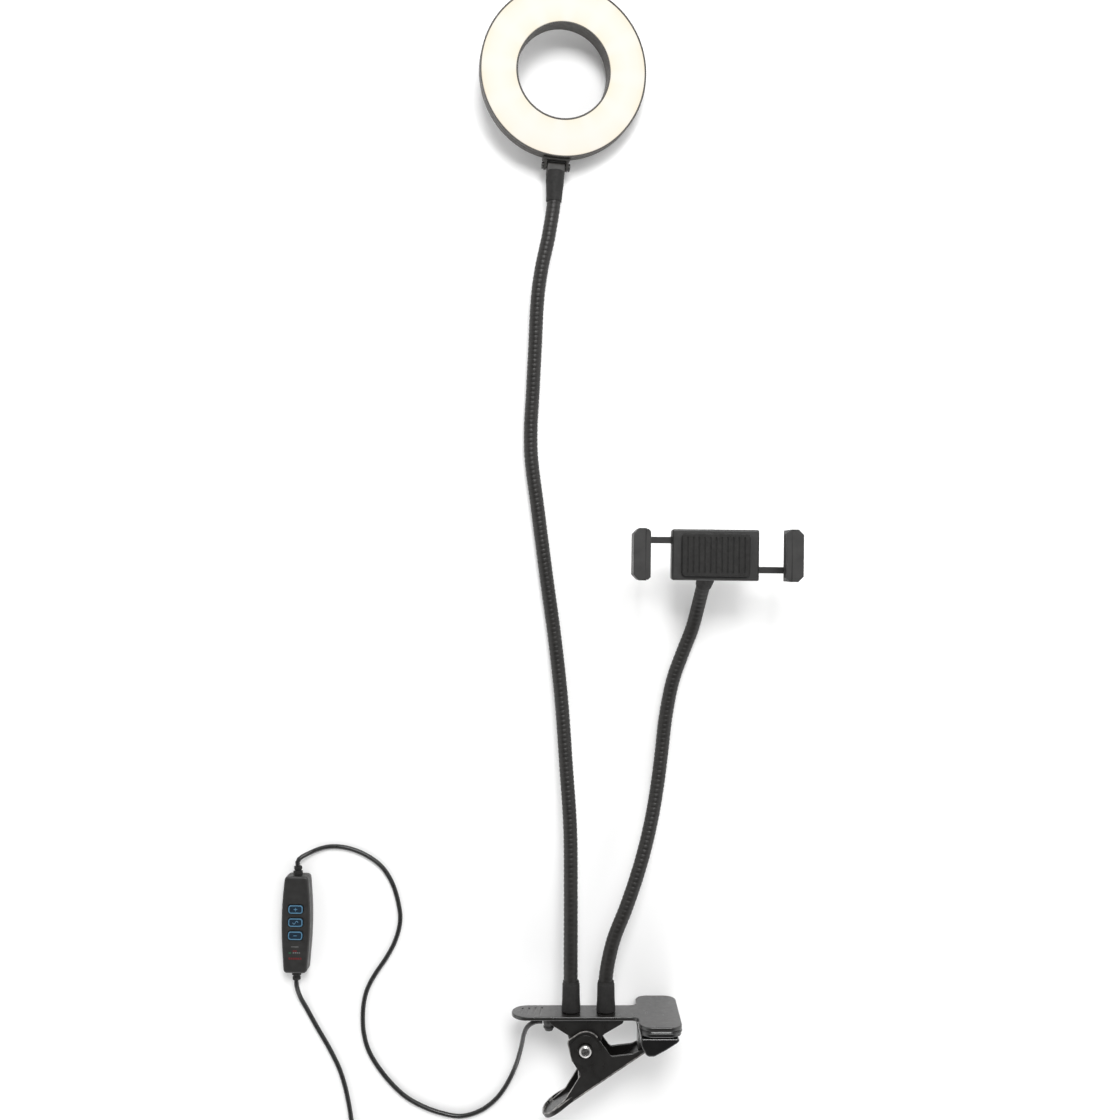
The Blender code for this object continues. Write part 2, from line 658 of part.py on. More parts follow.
def build_plate():
    """The fixed jaw: a finger plate with a hammer head and two flanges that hold the pivot pin."""
    flat = frame((0, PLATE_TOP, 0), (1, 0, 0), (0, -1, 0))
    near, far = CLIP_Z - PLATE_WIDTH / 2, CLIP_Z + PLATE_WIDTH / 2
    finger = PLATE_WIDTH / 2 * 0.98
    outline = rounded([
        (PLATE_LEFT, near, finger), (HEAD_LEFT, near, 3.5 * MM), (HEAD_LEFT, 0, 6.5 * MM),
        (HEAD_RIGHT, 0, 6.5 * MM), (HEAD_RIGHT, HEAD_WIDTH, 6.5 * MM), (HEAD_LEFT, HEAD_WIDTH, 6.5 * MM),
        (HEAD_LEFT, far, 3.5 * MM), (PLATE_LEFT, far, finger),
    ], steps=7)
    plate = extruded("clip_plate", outline, 0, PLATE_THICK, "coated_steel", flat)
    x, y = PIVOT.x, PIVOT.y
    into_plate = PLATE_BOTTOM + 0.8 * MM
    flange = rounded([
        (-48.5 * MM, into_plate, 0), (-46.0 * MM, -257.0 * MM, 3 * MM), (x - 8.0 * MM, y + 6.5 * MM, 3 * MM),
        (x - 5.5 * MM, y - 6.2 * MM, 5 * MM), (x + 5.5 * MM, y - 6.2 * MM, 5 * MM),
        (x + 9.5 * MM, y + 7.5 * MM, 4 * MM), (-7.2 * MM, -256.2 * MM, 2 * MM), (-6.4 * MM, into_plate, 0),
    ])
    for name, side in (("flange_upper", 1), ("flange_lower", -1)):
        middle = CLIP_Z + side * FLANGE_MIDDLE
        join(plate, extruded(name, flange, middle - FLANGE_THICK / 2, middle + FLANGE_THICK / 2, helper=True))
    axle = Matrix.Translation(PIVOT)
    cut(plate, rod("plate_pivot_hole", PIN_RADIUS + GAP, -9 * MM, 9 * MM, pose=axle, helper=True))
    stud_holes = [("lamp_hole", LAMP_X, STUD_HOLE), ("phone_hole", PHONE_X, STUD_HOLE)]
    for name, x, radius in [*stud_holes, ("gland_hole", GLAND_X, GLAND_HOLE)]:
        down = frame((x, PLATE_TOP, CLIP_Z), (1, 0, 0), (0, 1, 0))
        cut(plate, rod(name, radius, -4 * MM, 1 * MM, pose=down, sides=20, helper=True))
    for index in range(4):
        x = PLATE_LEFT + (7.0 + 4.4 * index) * MM
        lean = Matrix.Translation((x, PLATE_TOP, CLIP_Z)) @ Matrix.Rotation(math.radians(20), 4, "Y")
        half = (4.2 + 0.4 * index) * MM
        cut(plate, box(f"grip_groove_{index + 1}", (-0.6 * MM, -0.5 * MM, -half), (0.6 * MM, 1 * MM, half),
                       pose=lean, helper=True))
    return plate


def build_gland():
    """The stub under the plate: its stem goes through the plate and the lead leaves its side."""
    down = frame((GLAND_X, PLATE_BOTTOM, CLIP_Z), (1, 0, 0), (0, 1, 0))
    stem = GLAND_HOLE - GAP
    stem_top = PLATE_THICK + 0.4 * MM
    shape = [(0, stem_top), (stem, stem_top), (stem, -GAP), (3.3 * MM, -GAP)]
    shape += [(3.1 * MM, -3.6 * MM), (2.6 * MM, -5.6 * MM), (2.9 * MM, -5.9 * MM), (2.9 * MM, -6.8 * MM)]
    shape += [(2.3 * MM, -7.2 * MM), (2.1 * MM, -GLAND_LENGTH - GAP), (0, -GLAND_LENGTH - GAP)]
    return turned("cable_gland", shape, "black_plastic", down, steps=20)


def build_clip_spring():
    """A torsion spring on the pivot pin: one leg bears under the plate and the other on the lever's web."""
    wire = 0.55 * MM
    coil_radius = 3.5 * MM
    turns = 3.88
    pitch = 1.45 * MM
    steps = int(turns * 12)
    start_angle = math.radians(224)
    half = turns * pitch / 2
    points = []
    for step in range(steps + 1):
        angle = start_angle + 2 * math.pi * turns * step / steps
        height = -half + 2 * half * step / steps
        points.append(PIVOT + Vector((coil_radius * math.cos(angle), coil_radius * math.sin(angle), height)))
    plate_leg = Vector((-42.6 * MM, PLATE_BOTTOM - 0.9 * MM, PIVOT.z - half))
    web_leg = PIVOT + Vector((-3.1 * MM, -22.2 * MM, half))
    return tube("pivot_spring", [plate_leg, *points, web_leg], wire, "bright_steel")


def build_lever(joint):
    """The moving jaw: a folded channel with a finger tail, and the shoe on its jaw end."""
    pose = Matrix.Translation(PIVOT) @ Matrix.Rotation(LEVER_ANGLE, 4, "Z")
    low = LEVER_MIDDLE - LEVER_THICK / 2
    high = LEVER_MIDDLE + LEVER_THICK / 2
    tail, jaw = -33.0 * MM, 29.0 * MM
    wall = rounded([
        (jaw, LEVER_WEB, 0), (tail, LEVER_WEB, 0), (tail, LEVER_WEB + 2.0 * MM, 0),
        (-24.0 * MM, -16.1 * MM, 4 * MM),
        (-9.4 * MM, -9.6 * MM, 2.5 * MM), (-9.2 * MM, -1.5 * MM, 5 * MM), (-5.2 * MM, 9.5 * MM, 2.5 * MM),
        (9.0 * MM, 9.2 * MM, 7.5 * MM), (9.6 * MM, -10.5 * MM, 2 * MM), (20.6 * MM, -16.2 * MM, 4 * MM),
        (jaw, LEVER_WEB + 1.9 * MM, 0),
    ])
    lever = extruded("clip_lever", wall, low, high, "coated_steel", pose)
    join(lever, extruded("lever_far_wall", wall, -high, -low, pose=pose, helper=True))
    web_top = LEVER_WEB + LEVER_THICK
    join(lever, box("lever_web", (tail, LEVER_WEB, -high), (jaw, web_top, high), pose=pose, helper=True))
    flat = pose @ Matrix.Rotation(math.pi / 2, 4, "X")
    # In this frame Y is the part's Z and Z points out of the channel's back.
    wide = 9.9 * MM
    tongue = rounded([(-39.3 * MM, -wide, 8 * MM), (-29.0 * MM, -wide, 4 * MM), (-20 * MM, -high, 0),
                      (-20 * MM, high, 0), (-29.0 * MM, wide, 4 * MM), (-39.3 * MM, wide, 8 * MM)])
    join(lever, extruded("lever_tongue", tongue, -web_top, -LEVER_WEB, pose=flat, helper=True))
    lip_low = (-39.1 * MM, LEVER_WEB + 0.2 * MM, -5 * MM)
    lip_high = (-37.9 * MM, LEVER_WEB + 4 * MM, 5 * MM)
    join(lever, box("tail_lip", lip_low, lip_high, pose=pose, helper=True))
    boss_top = high + 0.8 * MM
    join(lever, rod("boss_upper", BOSS_RADIUS, high - 0.5 * MM, boss_top, pose=pose, sides=28, helper=True))
    join(lever, rod("boss_lower", BOSS_RADIUS, -boss_top, -high + 0.5 * MM, pose=pose, sides=28, helper=True))
    shoe_slot = PLATE_BOTTOM - 8.0 * MM
    blade_thick = 1.5 * MM
    join(lever, box("jaw_neck", (1.0 * MM, -272.0 * MM, CLIP_Z - 6.5 * MM),
                    (2.5 * MM, shoe_slot + blade_thick / 2, CLIP_Z + 6.5 * MM), helper=True))
    join(lever, box("jaw_blade", (1.0 * MM, shoe_slot - blade_thick / 2, CLIP_Z - 19 * MM),
                    (16.0 * MM, shoe_slot + blade_thick / 2, CLIP_Z + 19 * MM), helper=True))
    cut(lever, rod("lever_pivot_hole", PIN_RADIUS + GAP, -12 * MM, 12 * MM, pose=pose, helper=True))
    shoe_top = PLATE_BOTTOM - GAP - PAD_THICK - 0.4 * MM
    outline = rounded([
        (3.4 * MM, shoe_top, 0.6 * MM), (3.2 * MM, -262.0 * MM, 2 * MM), (6.2 * MM, -267.3 * MM, 1.5 * MM),
        (10.5 * MM, -266.6 * MM, 4 * MM), (17.5 * MM, -262.4 * MM, 8 * MM),
        (23.3 * MM, shoe_top - 1.2 * MM, 1 * MM), (23.0 * MM, shoe_top, 0.5 * MM),
    ], steps=4)
    shoe = extruded("lower_jaw_shoe", outline, 0.6 * MM, HEAD_WIDTH - 0.6 * MM, "gloss_black")
    room = 0.45 * MM
    slot_low = (0.0, shoe_slot - blade_thick / 2 - room, CLIP_Z - 19 * MM - room)
    slot_high = (16.0 * MM + room, shoe_slot + blade_thick / 2 + room, CLIP_Z + 19 * MM + room)
    cut(shoe, box("shoe_slot", slot_low, slot_high, helper=True))
    for obj in (lever, shoe):
        hang(obj, joint)


# ---------------------------------------------------------------- phone holder

def involute(angle):
    return math.tan(angle) - angle


def pinion_outline():
    """The toothed outline of the pinion, with true involute flanks."""
    pitch = GEAR_MODULE * GEAR_TEETH / 2
    base = pitch * math.cos(PRESSURE_ANGLE)
    root, tip = pitch - DEDENDUM, pitch + ADDENDUM
    flank = [root]
    flank += [base + (tip - base) * step / 3 for step in range(4)]
    half_at_pitch = TOOTH_HALF / pitch
    outline = []
    for tooth in range(GEAR_TEETH):
        middle = math.pi / 2 + 2 * math.pi * tooth / GEAR_TEETH
        sides = []
        for radius in flank:
            pressure = math.acos(min(1.0, base / max(radius, base)))
            half = half_at_pitch + involute(PRESSURE_ANGLE) - involute(pressure)
            sides.append((radius, half))
        for radius, half in sides:
            outline.append((radius * math.cos(middle - half), radius * math.sin(middle - half)))
        for radius, half in reversed(sides):
            outline.append((radius * math.cos(middle + half), radius * math.sin(middle + half)))
    return outline


def rack_outline(end):
    """A rack above the pinion, its gap over the pinion's tooth; its bar runs to the jaw at -X."""
    pitch_line = GEAR_MODULE * GEAR_TEETH / 2
    root, tip, back = pitch_line + DEDENDUM, pitch_line - ADDENDUM, pitch_line + 4.4 * MM
    slope = math.tan(PRESSURE_ANGLE)
    step = math.pi * GEAR_MODULE
    tip_half = TOOTH_HALF - ADDENDUM * slope
    root_half = TOOTH_HALF + DEDENDUM * slope
    outline = [(-41.0 * MM, back), (-41.0 * MM, root)]
    for tooth in range(-4, 3):
        middle = (tooth + 0.5) * step
        outline += [(middle - root_half, root), (middle - tip_half, tip)]
        outline += [(middle + tip_half, tip), (middle + root_half, root)]
    outline += [(end, root), (end, back)]
    return outline


def build_holder(spin, pinion_joint, left_joint, right_joint):
    half_x, half_y = HOLDER_LENGTH / 2, HOLDER_WIDTH / 2
    split = HOLDER_BACK + 8.0 * MM
    back_shell = box("holder_back_shell", (-half_x, -half_y, HOLDER_BACK), (half_x, half_y, split),
                     "black_plastic", HOLDER, edge=1.2 * MM)
    wall = HOLDER_WALL
    cut(back_shell, box("holder_cavity", (-half_x + wall, -half_y + wall, HOLDER_BACK + 1.8 * MM),
                        (half_x - wall, half_y - wall, split + 2 * MM), pose=HOLDER, helper=True))
    floor, above = HOLDER_BACK + 1.0 * MM, split + 2 * MM
    post = rod("pinion_post", POST_RADIUS, floor, 41.2 * MM, pose=HOLDER, sides=16, helper=True)
    pilot = rod("screw_pilot", 1.15 * MM, HOLDER_BACK + 2.4 * MM, above, pose=HOLDER, sides=16, helper=True)
    join(back_shell, post)
    cut(back_shell, pilot)
    for name, side in (("left_slot", -1), ("right_slot", 1)):
        near, far = sorted((side * (half_x - 3 * MM), side * (half_x + 1 * MM)))
        low_y, high_y = sorted((-side * 5.6 * MM, -side * 9.8 * MM))
        slot_low = (near, low_y, RACK_LOW - 0.4 * MM)
        cut(back_shell, box(name, slot_low, (far, high_y, above), pose=HOLDER, helper=True))
    front_low = (-half_x, -half_y, split + GAP)
    front_high = (half_x, half_y, split + 3.0 * MM)
    front_shell = box("holder_front_shell", front_low, front_high, "black_plastic", HOLDER, edge=0.8 * MM)
    top = split + 5 * MM
    for name, radius, low in (("screw_hole", 1.3 * MM, split), ("screw_seat", 2.4 * MM, above - GAP)):
        cut(front_shell, rod(name, radius, low, top, pose=HOLDER, sides=16, helper=True))
    shape = [(0, split + 2.9 * MM), (2.0 * MM, split + 2.9 * MM), (2.0 * MM, split + 2.1 * MM)]
    shape += [(0.85 * MM, split + 2.1 * MM), (0.85 * MM, HOLDER_BACK + 3.2 * MM), (0, HOLDER_BACK + 3.2 * MM)]
    screw = turned("holder_screw", shape, "bright_steel", HOLDER, steps=16)
    pad_low = split + 3.0 * MM + GAP
    pad = box("holder_pad", (-18 * MM, -11.3 * MM, pad_low), (18 * MM, 11.3 * MM, pad_low + 2.0 * MM),
              "black_rubber", HOLDER, edge=0.7 * MM)
    spring = build_holder_spring()
    socket = build_socket()
    for obj in (back_shell, front_shell, screw, pad, spring, socket):
        hang(obj, spin)

    pinion = extruded("holder_pinion", pinion_outline(), RACK_LOW, RACK_HIGH, "black_plastic", HOLDER)
    low, high = RACK_LOW - 1 * MM, RACK_HIGH + 1 * MM
    cut(pinion, rod("pinion_bore", POST_RADIUS + GAP, low, high, pose=HOLDER, sides=16, helper=True))
    hang(pinion, pinion_joint)
    build_jaw("left", HOLDER, left_joint)
    build_jaw("right", HOLDER @ Matrix.Rotation(math.pi, 4, "Z"), right_joint)


def build_jaw(side, pose, joint):
    """A claw with a rubber pad, on a bar that is a rack inside the holder. The pose has the jaw at -X."""
    outer, half = -JAW_OUTER, JAW_WIDTH / 2
    inner = -JAW_GAP / 2 - 1.6 * MM
    claw_low, claw_high = 36.0 * MM, 58.0 * MM
    chamfer = 2.8 * MM
    # The claw's plan: chamfered outer corners, and the lip over the phone's edge.
    plan = [(outer, -half + chamfer), (outer + chamfer, -half), (inner, -half), (inner, half),
            (outer + chamfer, half), (outer, half - chamfer)]
    jaw = extruded(f"jaw_{side}", plan, claw_low, claw_high, "black_plastic", pose)
    lip = -JAW_GAP / 2 + 0.6 * MM
    lip_plan = [(outer + 2 * MM, -half + 2 * MM), (lip - 1.5 * MM, -half + 0.3 * MM), (lip, -half + 1.8 * MM),
                (lip, half - 1.8 * MM), (lip - 1.5 * MM, half - 0.3 * MM), (outer + 2 * MM, half - 2 * MM)]
    join(jaw, extruded(f"jaw_{side}_lip", lip_plan, 56.3 * MM, claw_high - 0.2 * MM, pose=pose, helper=True))
    # The rack's many flats in one plane need this solver.
    rack = extruded(f"jaw_{side}_rack", rack_outline(9.9 * MM), RACK_LOW, RACK_HIGH, pose=pose, helper=True)
    join(jaw, rack, solver="MANIFOLD")
    pad_low = (inner + GAP, -half + 2 * MM, 45.5 * MM)
    pad_high = (-JAW_GAP / 2, half - 2 * MM, 55.9 * MM)
    pad = box(f"jaw_pad_{side}", pad_low, pad_high, "black_rubber", pose, edge=0.4 * MM)
    for obj in (jaw, pad):
        hang(obj, joint)


def build_holder_spring():
    """A small coil on the pinion's post that draws the jaws together."""
    turns, steps = 1.25, 18
    radius, wire = 2.9 * MM, 0.25 * MM
    low, high = 40.95 * MM, 41.8 * MM
    points = []
    for step in range(steps + 1):
        angle = 2 * math.pi * turns * step / steps
        height = low + (high - low) * step / steps
        points.append(HOLDER @ Vector((radius * math.cos(angle), radius * math.sin(angle), height)))
    points.append(HOLDER @ Vector((-9.0 * MM, 11.3 * MM, high)))
    return tube("pinion_spring", points, wire, "bright_steel")


def ball_frame():
    return HOLDER @ Matrix.Translation(BALL_PLACE)


def build_socket():
    """The cup under the holder that grips the ball."""
    room = BALL_RADIUS + GAP
    rim = -1.0 * MM
    top = HOLDER_BACK - GAP - BALL_PLACE.z
    flange, body = 8.6 * MM, SOCKET_RADIUS
    shape = [(0, top), (flange, top), (flange, top - 1.6 * MM), (body, top - 2.6 * MM), (body, rim)]
    start = math.degrees(math.asin(rim / room))
    shape += arc((0, 0), room, start, 90, 6)
    return turned("ball_socket", shape, "black_plastic", ball_frame(), steps=24)


def build_lock_ring(joint):
    low, high = -1.4 * MM, 4.0 * MM
    outer, bore = 9.4 * MM, SOCKET_RADIUS + GAP
    shape = [(outer, high), (outer, low + 0.8 * MM), (outer - 0.8 * MM, low), (bore, low), (bore, high)]
    hang(turned("lock_ring", shape, "black_plastic", ball_frame(), steps=28, ring=True), joint)


def build_ball_stud(joint):
    """The ball, its neck and the boot that holds them on the end of the gooseneck."""
    up = frame(BALL_CENTRE, (1, 0, 0), STUD_DIRECTION)
    neck = 1.9 * MM
    meet = -math.sqrt(BALL_RADIUS**2 - neck**2)
    angle = math.degrees(math.atan2(meet, neck))
    shape = arc((0, 0), BALL_RADIUS, 90, angle, 9)
    shape[0] = (0, BALL_RADIUS)
    shape += [(neck, -9.0 * MM), (3.4 * MM, -9.3 * MM), (3.4 * MM, -10.5 * MM), (0, -10.5 * MM)]
    stud = turned("ball_stud", shape, "bright_steel", up, steps=20)
    shape = [(4.3 * MM, -9.0 * MM), (4.9 * MM, -9.8 * MM), (4.9 * MM, -16.5 * MM), (4.4 * MM, -18.5 * MM)]
    boot = sleeve("phone_top_boot", shape, "black_rubber", up)
    for obj in (stud, boot):
        hang(obj, joint)


# ---------------------------------------------------------------- lead, switch and plug

SWITCH = Matrix.Translation(SWITCH_PLACE) @ Matrix.Rotation(SWITCH_TURN, 4, "Z")


def switch_outline(inset):
    """The switch seen from above: widest a little above its middle, with rounded ends."""
    long = SWITCH_LENGTH / 2 - inset
    wide = SWITCH_WIDE / 2 - inset
    narrow = SWITCH_NARROW / 2 - inset
    return rounded([
        (-narrow, long, 2.2 * MM), (-wide, 4 * MM, 26 * MM), (-narrow, -long, 2.2 * MM),
        (narrow, -long, 2.2 * MM), (wide, 4 * MM, 26 * MM), (narrow, long, 2.2 * MM),
    ])


def build_switch(root, button_joints):
    wall = SWITCH_WALL
    outside, inside = switch_outline(0), switch_outline(wall)
    lower = extruded("switch_bottom_shell", outside, 0, SWITCH_SPLIT, "black_plastic", SWITCH)
    lower_room = extruded("lower_room", inside, wall, SWITCH_SPLIT + 2 * MM, pose=SWITCH, helper=True)
    upper = extruded("switch_top_shell", outside, SWITCH_SPLIT + GAP, SWITCH_HIGH, "black_plastic", SWITCH)
    ceiling = SWITCH_HIGH - wall
    upper_room = extruded("upper_room", inside, SWITCH_SPLIT - 1 * MM, ceiling, pose=SWITCH, helper=True)
    cut(lower, lower_room)
    cut(upper, upper_room)
    board_low, board_high = (-4.4 * MM, -20 * MM, 2.6 * MM), (4.4 * MM, 20 * MM, 3.8 * MM)
    board = box("switch_board", board_low, board_high, "board_white", SWITCH)
    half_x, half_y = BUTTON_SIZE[0] / 2, BUTTON_SIZE[1] / 2
    for index, (name, joint) in enumerate(button_joints):
        y = BUTTON_START - BUTTON_PITCH * index
        room = GAP
        cut(upper, box(name + "_window", (-half_x - room, y - half_y - room, SWITCH_HIGH - 4 * MM),
                       (half_x + room, y + half_y + room, SWITCH_HIGH + 1 * MM), pose=SWITCH, helper=True))
        button = box(name, (-half_x, y - half_y, 5.2 * MM), (half_x, y + half_y, SWITCH_HIGH + 0.6 * MM),
                     "button_blue", SWITCH, edge=0.6 * MM)
        hang(button, joint)
    for obj in (lower, upper, board):
        hang(obj, root)
    for name, side in (("relief_lamp_side", 1), ("relief_plug_side", -1)):
        out = SWITCH @ frame((0, side * (SWITCH_LENGTH / 2 + GAP), SWITCH_SPLIT), (1, 0, 0), (0, side, 0))
        shape = [(0, RELIEF_LENGTH), (1.7 * MM, RELIEF_LENGTH), (2.6 * MM, 0.6 * MM), (2.6 * MM, 0), (0, 0)]
        hang(turned(name, shape, "black_rubber", out, steps=16), root)


def relief_end(side, beyond=0.0):
    """Where the lead meets a strain relief of the switch, or a point straight out from there."""
    reach = SWITCH_LENGTH / 2 + GAP + RELIEF_LENGTH + GAP + beyond
    return SWITCH @ Vector((0, side * reach, SWITCH_SPLIT))


def lead_to_switch_route():
    exit_x = GLAND_X - 3.15 * MM - GAP
    on_floor = [
        (-71.2, -301.4), (-77.6, -310.0), (-86.3, -316.4), (-97.0, -319.4), (-107.8, -317.7),
        (-118.6, -313.8), (-129.4, -307.4), (-140.1, -296.4), (-148.2, -284.1), (-151.6, -273.4),
        (-152.3, -263.7), (-151.6, -254.6), (-149.4, -246.8), (-144.9, -238.6), (-138.6, -229.3),
        (-133.6, -219.3), (-131.2, -208.5), (-132.6, -197.7), (-136.0, -187.4), (-141.8, -178.6),
        (-150.2, -172.4), (-158.9, -168.8), (-167.1, -167.4), (-174.6, -168.1),
    ]
    route = [
        (exit_x, -257.3 * MM, CLIP_Z),
        Vector((-54.6, -257.6, 23.7)) * MM,
        Vector((-58.6, -260.4, 22.3)) * MM,
        Vector((-61.0, -266.6, 17.5)) * MM,
        Vector((-62.9, -277.8, 8.6)) * MM,
        Vector((-66.0, -290.0, 2.7)) * MM,
    ]
    route += [(x * MM, y * MM, CORD_FLOOR) for x, y in on_floor]
    route += [Vector((-182.2, -170.8, 2.6)) * MM, relief_end(1, 5.2 * MM), relief_end(1)]
    return smooth(route)


def lead_to_plug_route():
    on_floor = [
        (-184.0, -258.6), (-178.0, -269.4), (-171.4, -280.7), (-166.0, -291.5), (-162.7, -301.2),
        (-160.3, -311.9), (-158.8, -321.5), (-158.0, -331.0),
    ]
    route = [relief_end(-1), relief_end(-1, 5.2 * MM), Vector((-187.2, -252.0, 2.4)) * MM]
    route += [(x * MM, y * MM, CORD_FLOOR) for x, y in on_floor]
    # It stops short of the coil, in line with the side of its outer turn.
    side = COIL_OUTER_TURN + 0.2 * MM
    clear = COIL_OUTER_TURN + 2 * CORD_RADIUS + GAP
    route.append(COIL_PLACE + Vector((-side, math.sqrt(clear**2 - side**2), CORD_FLOOR)))
    return smooth(route)


def build_coil():
    """The outer shape of the coiled stretch, a ring with rounded edges."""
    low = COIL_INNER_TURN - CORD_RADIUS
    high = COIL_OUTER_TURN + CORD_RADIUS
    round_edge = CORD_RADIUS
    top = COIL_HIGH
    shape = arc((high - round_edge, top - round_edge), round_edge, 90, 0, 2)
    shape += arc((high - round_edge, round_edge), round_edge, 0, -90, 2)
    shape += arc((low + round_edge, round_edge), round_edge, -90, -180, 2)
    shape += arc((low + round_edge, top - round_edge), round_edge, 180, 90, 2)
    return turned("lead_coil", shape, "cord_sheath", Matrix.Translation(COIL_PLACE), steps=32, ring=True)


def build_lead(root):
    first = lead_to_switch_route()
    second = lead_to_plug_route()
    pieces = []
    for name, route in (("lead_to_switch", first), ("lead_to_plug", second)):
        pieces.append(tube(name, stretch(route, 0, length_of(route), 5.2 * MM), CORD_RADIUS, "cord_sheath"))
    pieces.append(build_coil())
    pose = Matrix.Translation(PLUG_PLACE)
    grip_end = 21.0 * MM
    overmould = box("plug_overmould", (0, -7.9 * MM, -4.1 * MM), (grip_end, 7.9 * MM, 4.1 * MM),
                    "black_plastic", pose, edge=1.2 * MM)
    back = pose @ frame((0, 0, 0), (0, 1, 0), (-1, 0, 0))
    shape = [(0, PLUG_NECK), (1.9 * MM, PLUG_NECK), (3.6 * MM, -1 * MM), (0, -1 * MM)]
    join(overmould, turned("plug_neck", shape, pose=back, steps=20, helper=True))
    half_wide, half_high, sheet = 6.0 * MM, 2.25 * MM, 0.35 * MM
    start, end = grip_end + GAP, 39.5 * MM
    shell_low, shell_high = (start, -half_wide, -half_high), (end, half_wide, half_high)
    shell = box("plug_shell", shell_low, shell_high, "bright_steel", pose)
    mouth_low = (start + 6 * MM, -half_wide + sheet, -half_high + sheet)
    mouth_high = (end + 2 * MM, half_wide - sheet, half_high - sheet)
    cut(shell, box("plug_mouth", mouth_low, mouth_high, pose=pose, helper=True))
    pieces += [overmould, shell]
    for obj in pieces:
        hang(obj, root)


# ---------------------------------------------------------------- assembly

def build():
    root = make_empty("clip_body", (0, 0, 0))
    build_clip(root)
    build_lever(make_empty("clip_lever_hinge", PIVOT, root))
    build_neck_base("lamp", LAMP_X, root)
    build_neck_base("phone", PHONE_X, root)

    lamp_marks = [index / LAMP_PARTS for index in range(1, LAMP_PARTS)]
    lamp_end = build_arm("lamp_arm", lamp_route(), lamp_marks, root)
    build_lamp_top(lamp_end)
    build_ring(make_empty("ring_tilt", TILT_PLACE, lamp_end))

    phone_end = build_arm("phone_arm", phone_route(), PHONE_SPLITS, root)
    build_ball_stud(phone_end)
    collar = make_empty("holder_tilt", BALL_CENTRE, phone_end)
    build_lock_ring(collar)
    spin = make_empty("holder_spin", BALL_CENTRE, collar)
    middle = HOLDER @ Vector((0, 0, RACK_LOW))
    build_holder(
        spin,
        make_empty("pinion_spin", middle, spin),
        make_empty("jaw_left_slide", HOLDER @ Vector((-JAW_OUTER, 0, RACK_LOW)), spin),
        make_empty("jaw_right_slide", HOLDER @ Vector((JAW_OUTER, 0, RACK_LOW)), spin),
    )

    buttons = []
    for index, name in enumerate(("button_brighter", "button_mode", "button_dimmer")):
        spot = SWITCH @ Vector((0, BUTTON_START - BUTTON_PITCH * index, SWITCH_HIGH))
        buttons.append((name, make_empty(name + "_press", spot, root)))
    build_switch(root, buttons)
    build_lead(root)
    for cutter in CUTTERS.objects:
        hang(cutter, root)
    root.location = LAYOUT_SHIFT


build()
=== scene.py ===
import json
import math

import bmesh
import bpy
from mathutils import Matrix, Vector


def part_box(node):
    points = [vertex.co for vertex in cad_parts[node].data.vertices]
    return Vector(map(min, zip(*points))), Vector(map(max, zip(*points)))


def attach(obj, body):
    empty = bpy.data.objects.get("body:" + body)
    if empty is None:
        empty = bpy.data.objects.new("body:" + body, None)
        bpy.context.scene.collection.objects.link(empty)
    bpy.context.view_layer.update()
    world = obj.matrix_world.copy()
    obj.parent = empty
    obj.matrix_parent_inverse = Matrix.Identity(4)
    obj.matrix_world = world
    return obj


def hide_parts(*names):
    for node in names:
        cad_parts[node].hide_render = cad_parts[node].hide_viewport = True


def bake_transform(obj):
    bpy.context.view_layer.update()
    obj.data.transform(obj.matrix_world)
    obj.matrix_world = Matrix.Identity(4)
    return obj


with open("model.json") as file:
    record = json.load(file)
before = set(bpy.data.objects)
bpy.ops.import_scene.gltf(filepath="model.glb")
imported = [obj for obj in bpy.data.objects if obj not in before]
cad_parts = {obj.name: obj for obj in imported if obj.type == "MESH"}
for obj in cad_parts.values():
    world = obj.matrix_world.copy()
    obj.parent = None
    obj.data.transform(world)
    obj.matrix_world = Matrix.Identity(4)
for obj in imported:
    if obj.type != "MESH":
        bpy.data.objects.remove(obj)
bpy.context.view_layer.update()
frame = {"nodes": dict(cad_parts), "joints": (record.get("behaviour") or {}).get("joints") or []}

MM = 0.001
X_AXIS, Y_AXIS, Z_AXIS = (1, 0, 0), (0, 1, 0), (0, 0, 1)
SHARP = math.radians(38)
BEVELLED = math.radians(40)
LEVEL = math.radians(0.2)
FLAT_WEIGHT = 80
WELD = 0.002
JOINTS = {joint["name"]: joint for joint in frame["joints"]}


def joint_place(name):
    return Vector(JOINTS[name]["pos_m"])


# Shapes below are drawn in the CAD layout's millimetres, whose zero is found from the clip's pivot.
PIVOT = joint_place("clip_lever_hinge")
ORIGIN = PIVOT - Vector((-27.6, -270.0, 23.75)) * MM


def at(x, y, z):
    """A point of the layout, in millimetres, as a point of the frame."""
    return ORIGIN + Vector((x, y, z)) * MM


def pose_of(origin, x_axis, z_axis):
    """A pose whose Z is z_axis and whose X is x_axis made square to it."""
    z = Vector(z_axis).normalized()
    x = Vector(x_axis)
    x = (x - z * x.dot(z)).normalized()
    turn = Matrix((x, z.cross(x), z)).transposed().to_4x4()
    return Matrix.Translation(origin) @ turn


# ---- curves and outlines

def smooth(points):
    """Points along the smooth curve through the given ones."""
    steps = 12
    padded = [points[0] * 2 - points[1], *points, points[-1] * 2 - points[-2]]
    curve = []
    for p0, p1, p2, p3 in zip(padded, padded[1:], padded[2:], padded[3:]):
        for step in range(steps):
            t = step / steps
            bend = (p0 * 2 - p1 * 5 + p2 * 4 - p3) * t * t + (p1 * 3 - p0 - p2 * 3 + p3) * t * t * t
            curve.append((p1 * 2 + (p2 - p0) * t + bend) / 2)
    curve.append(points[-1])
    return curve


def length_of(curve):
    return sum((second - first).length for first, second in zip(curve, curve[1:]))


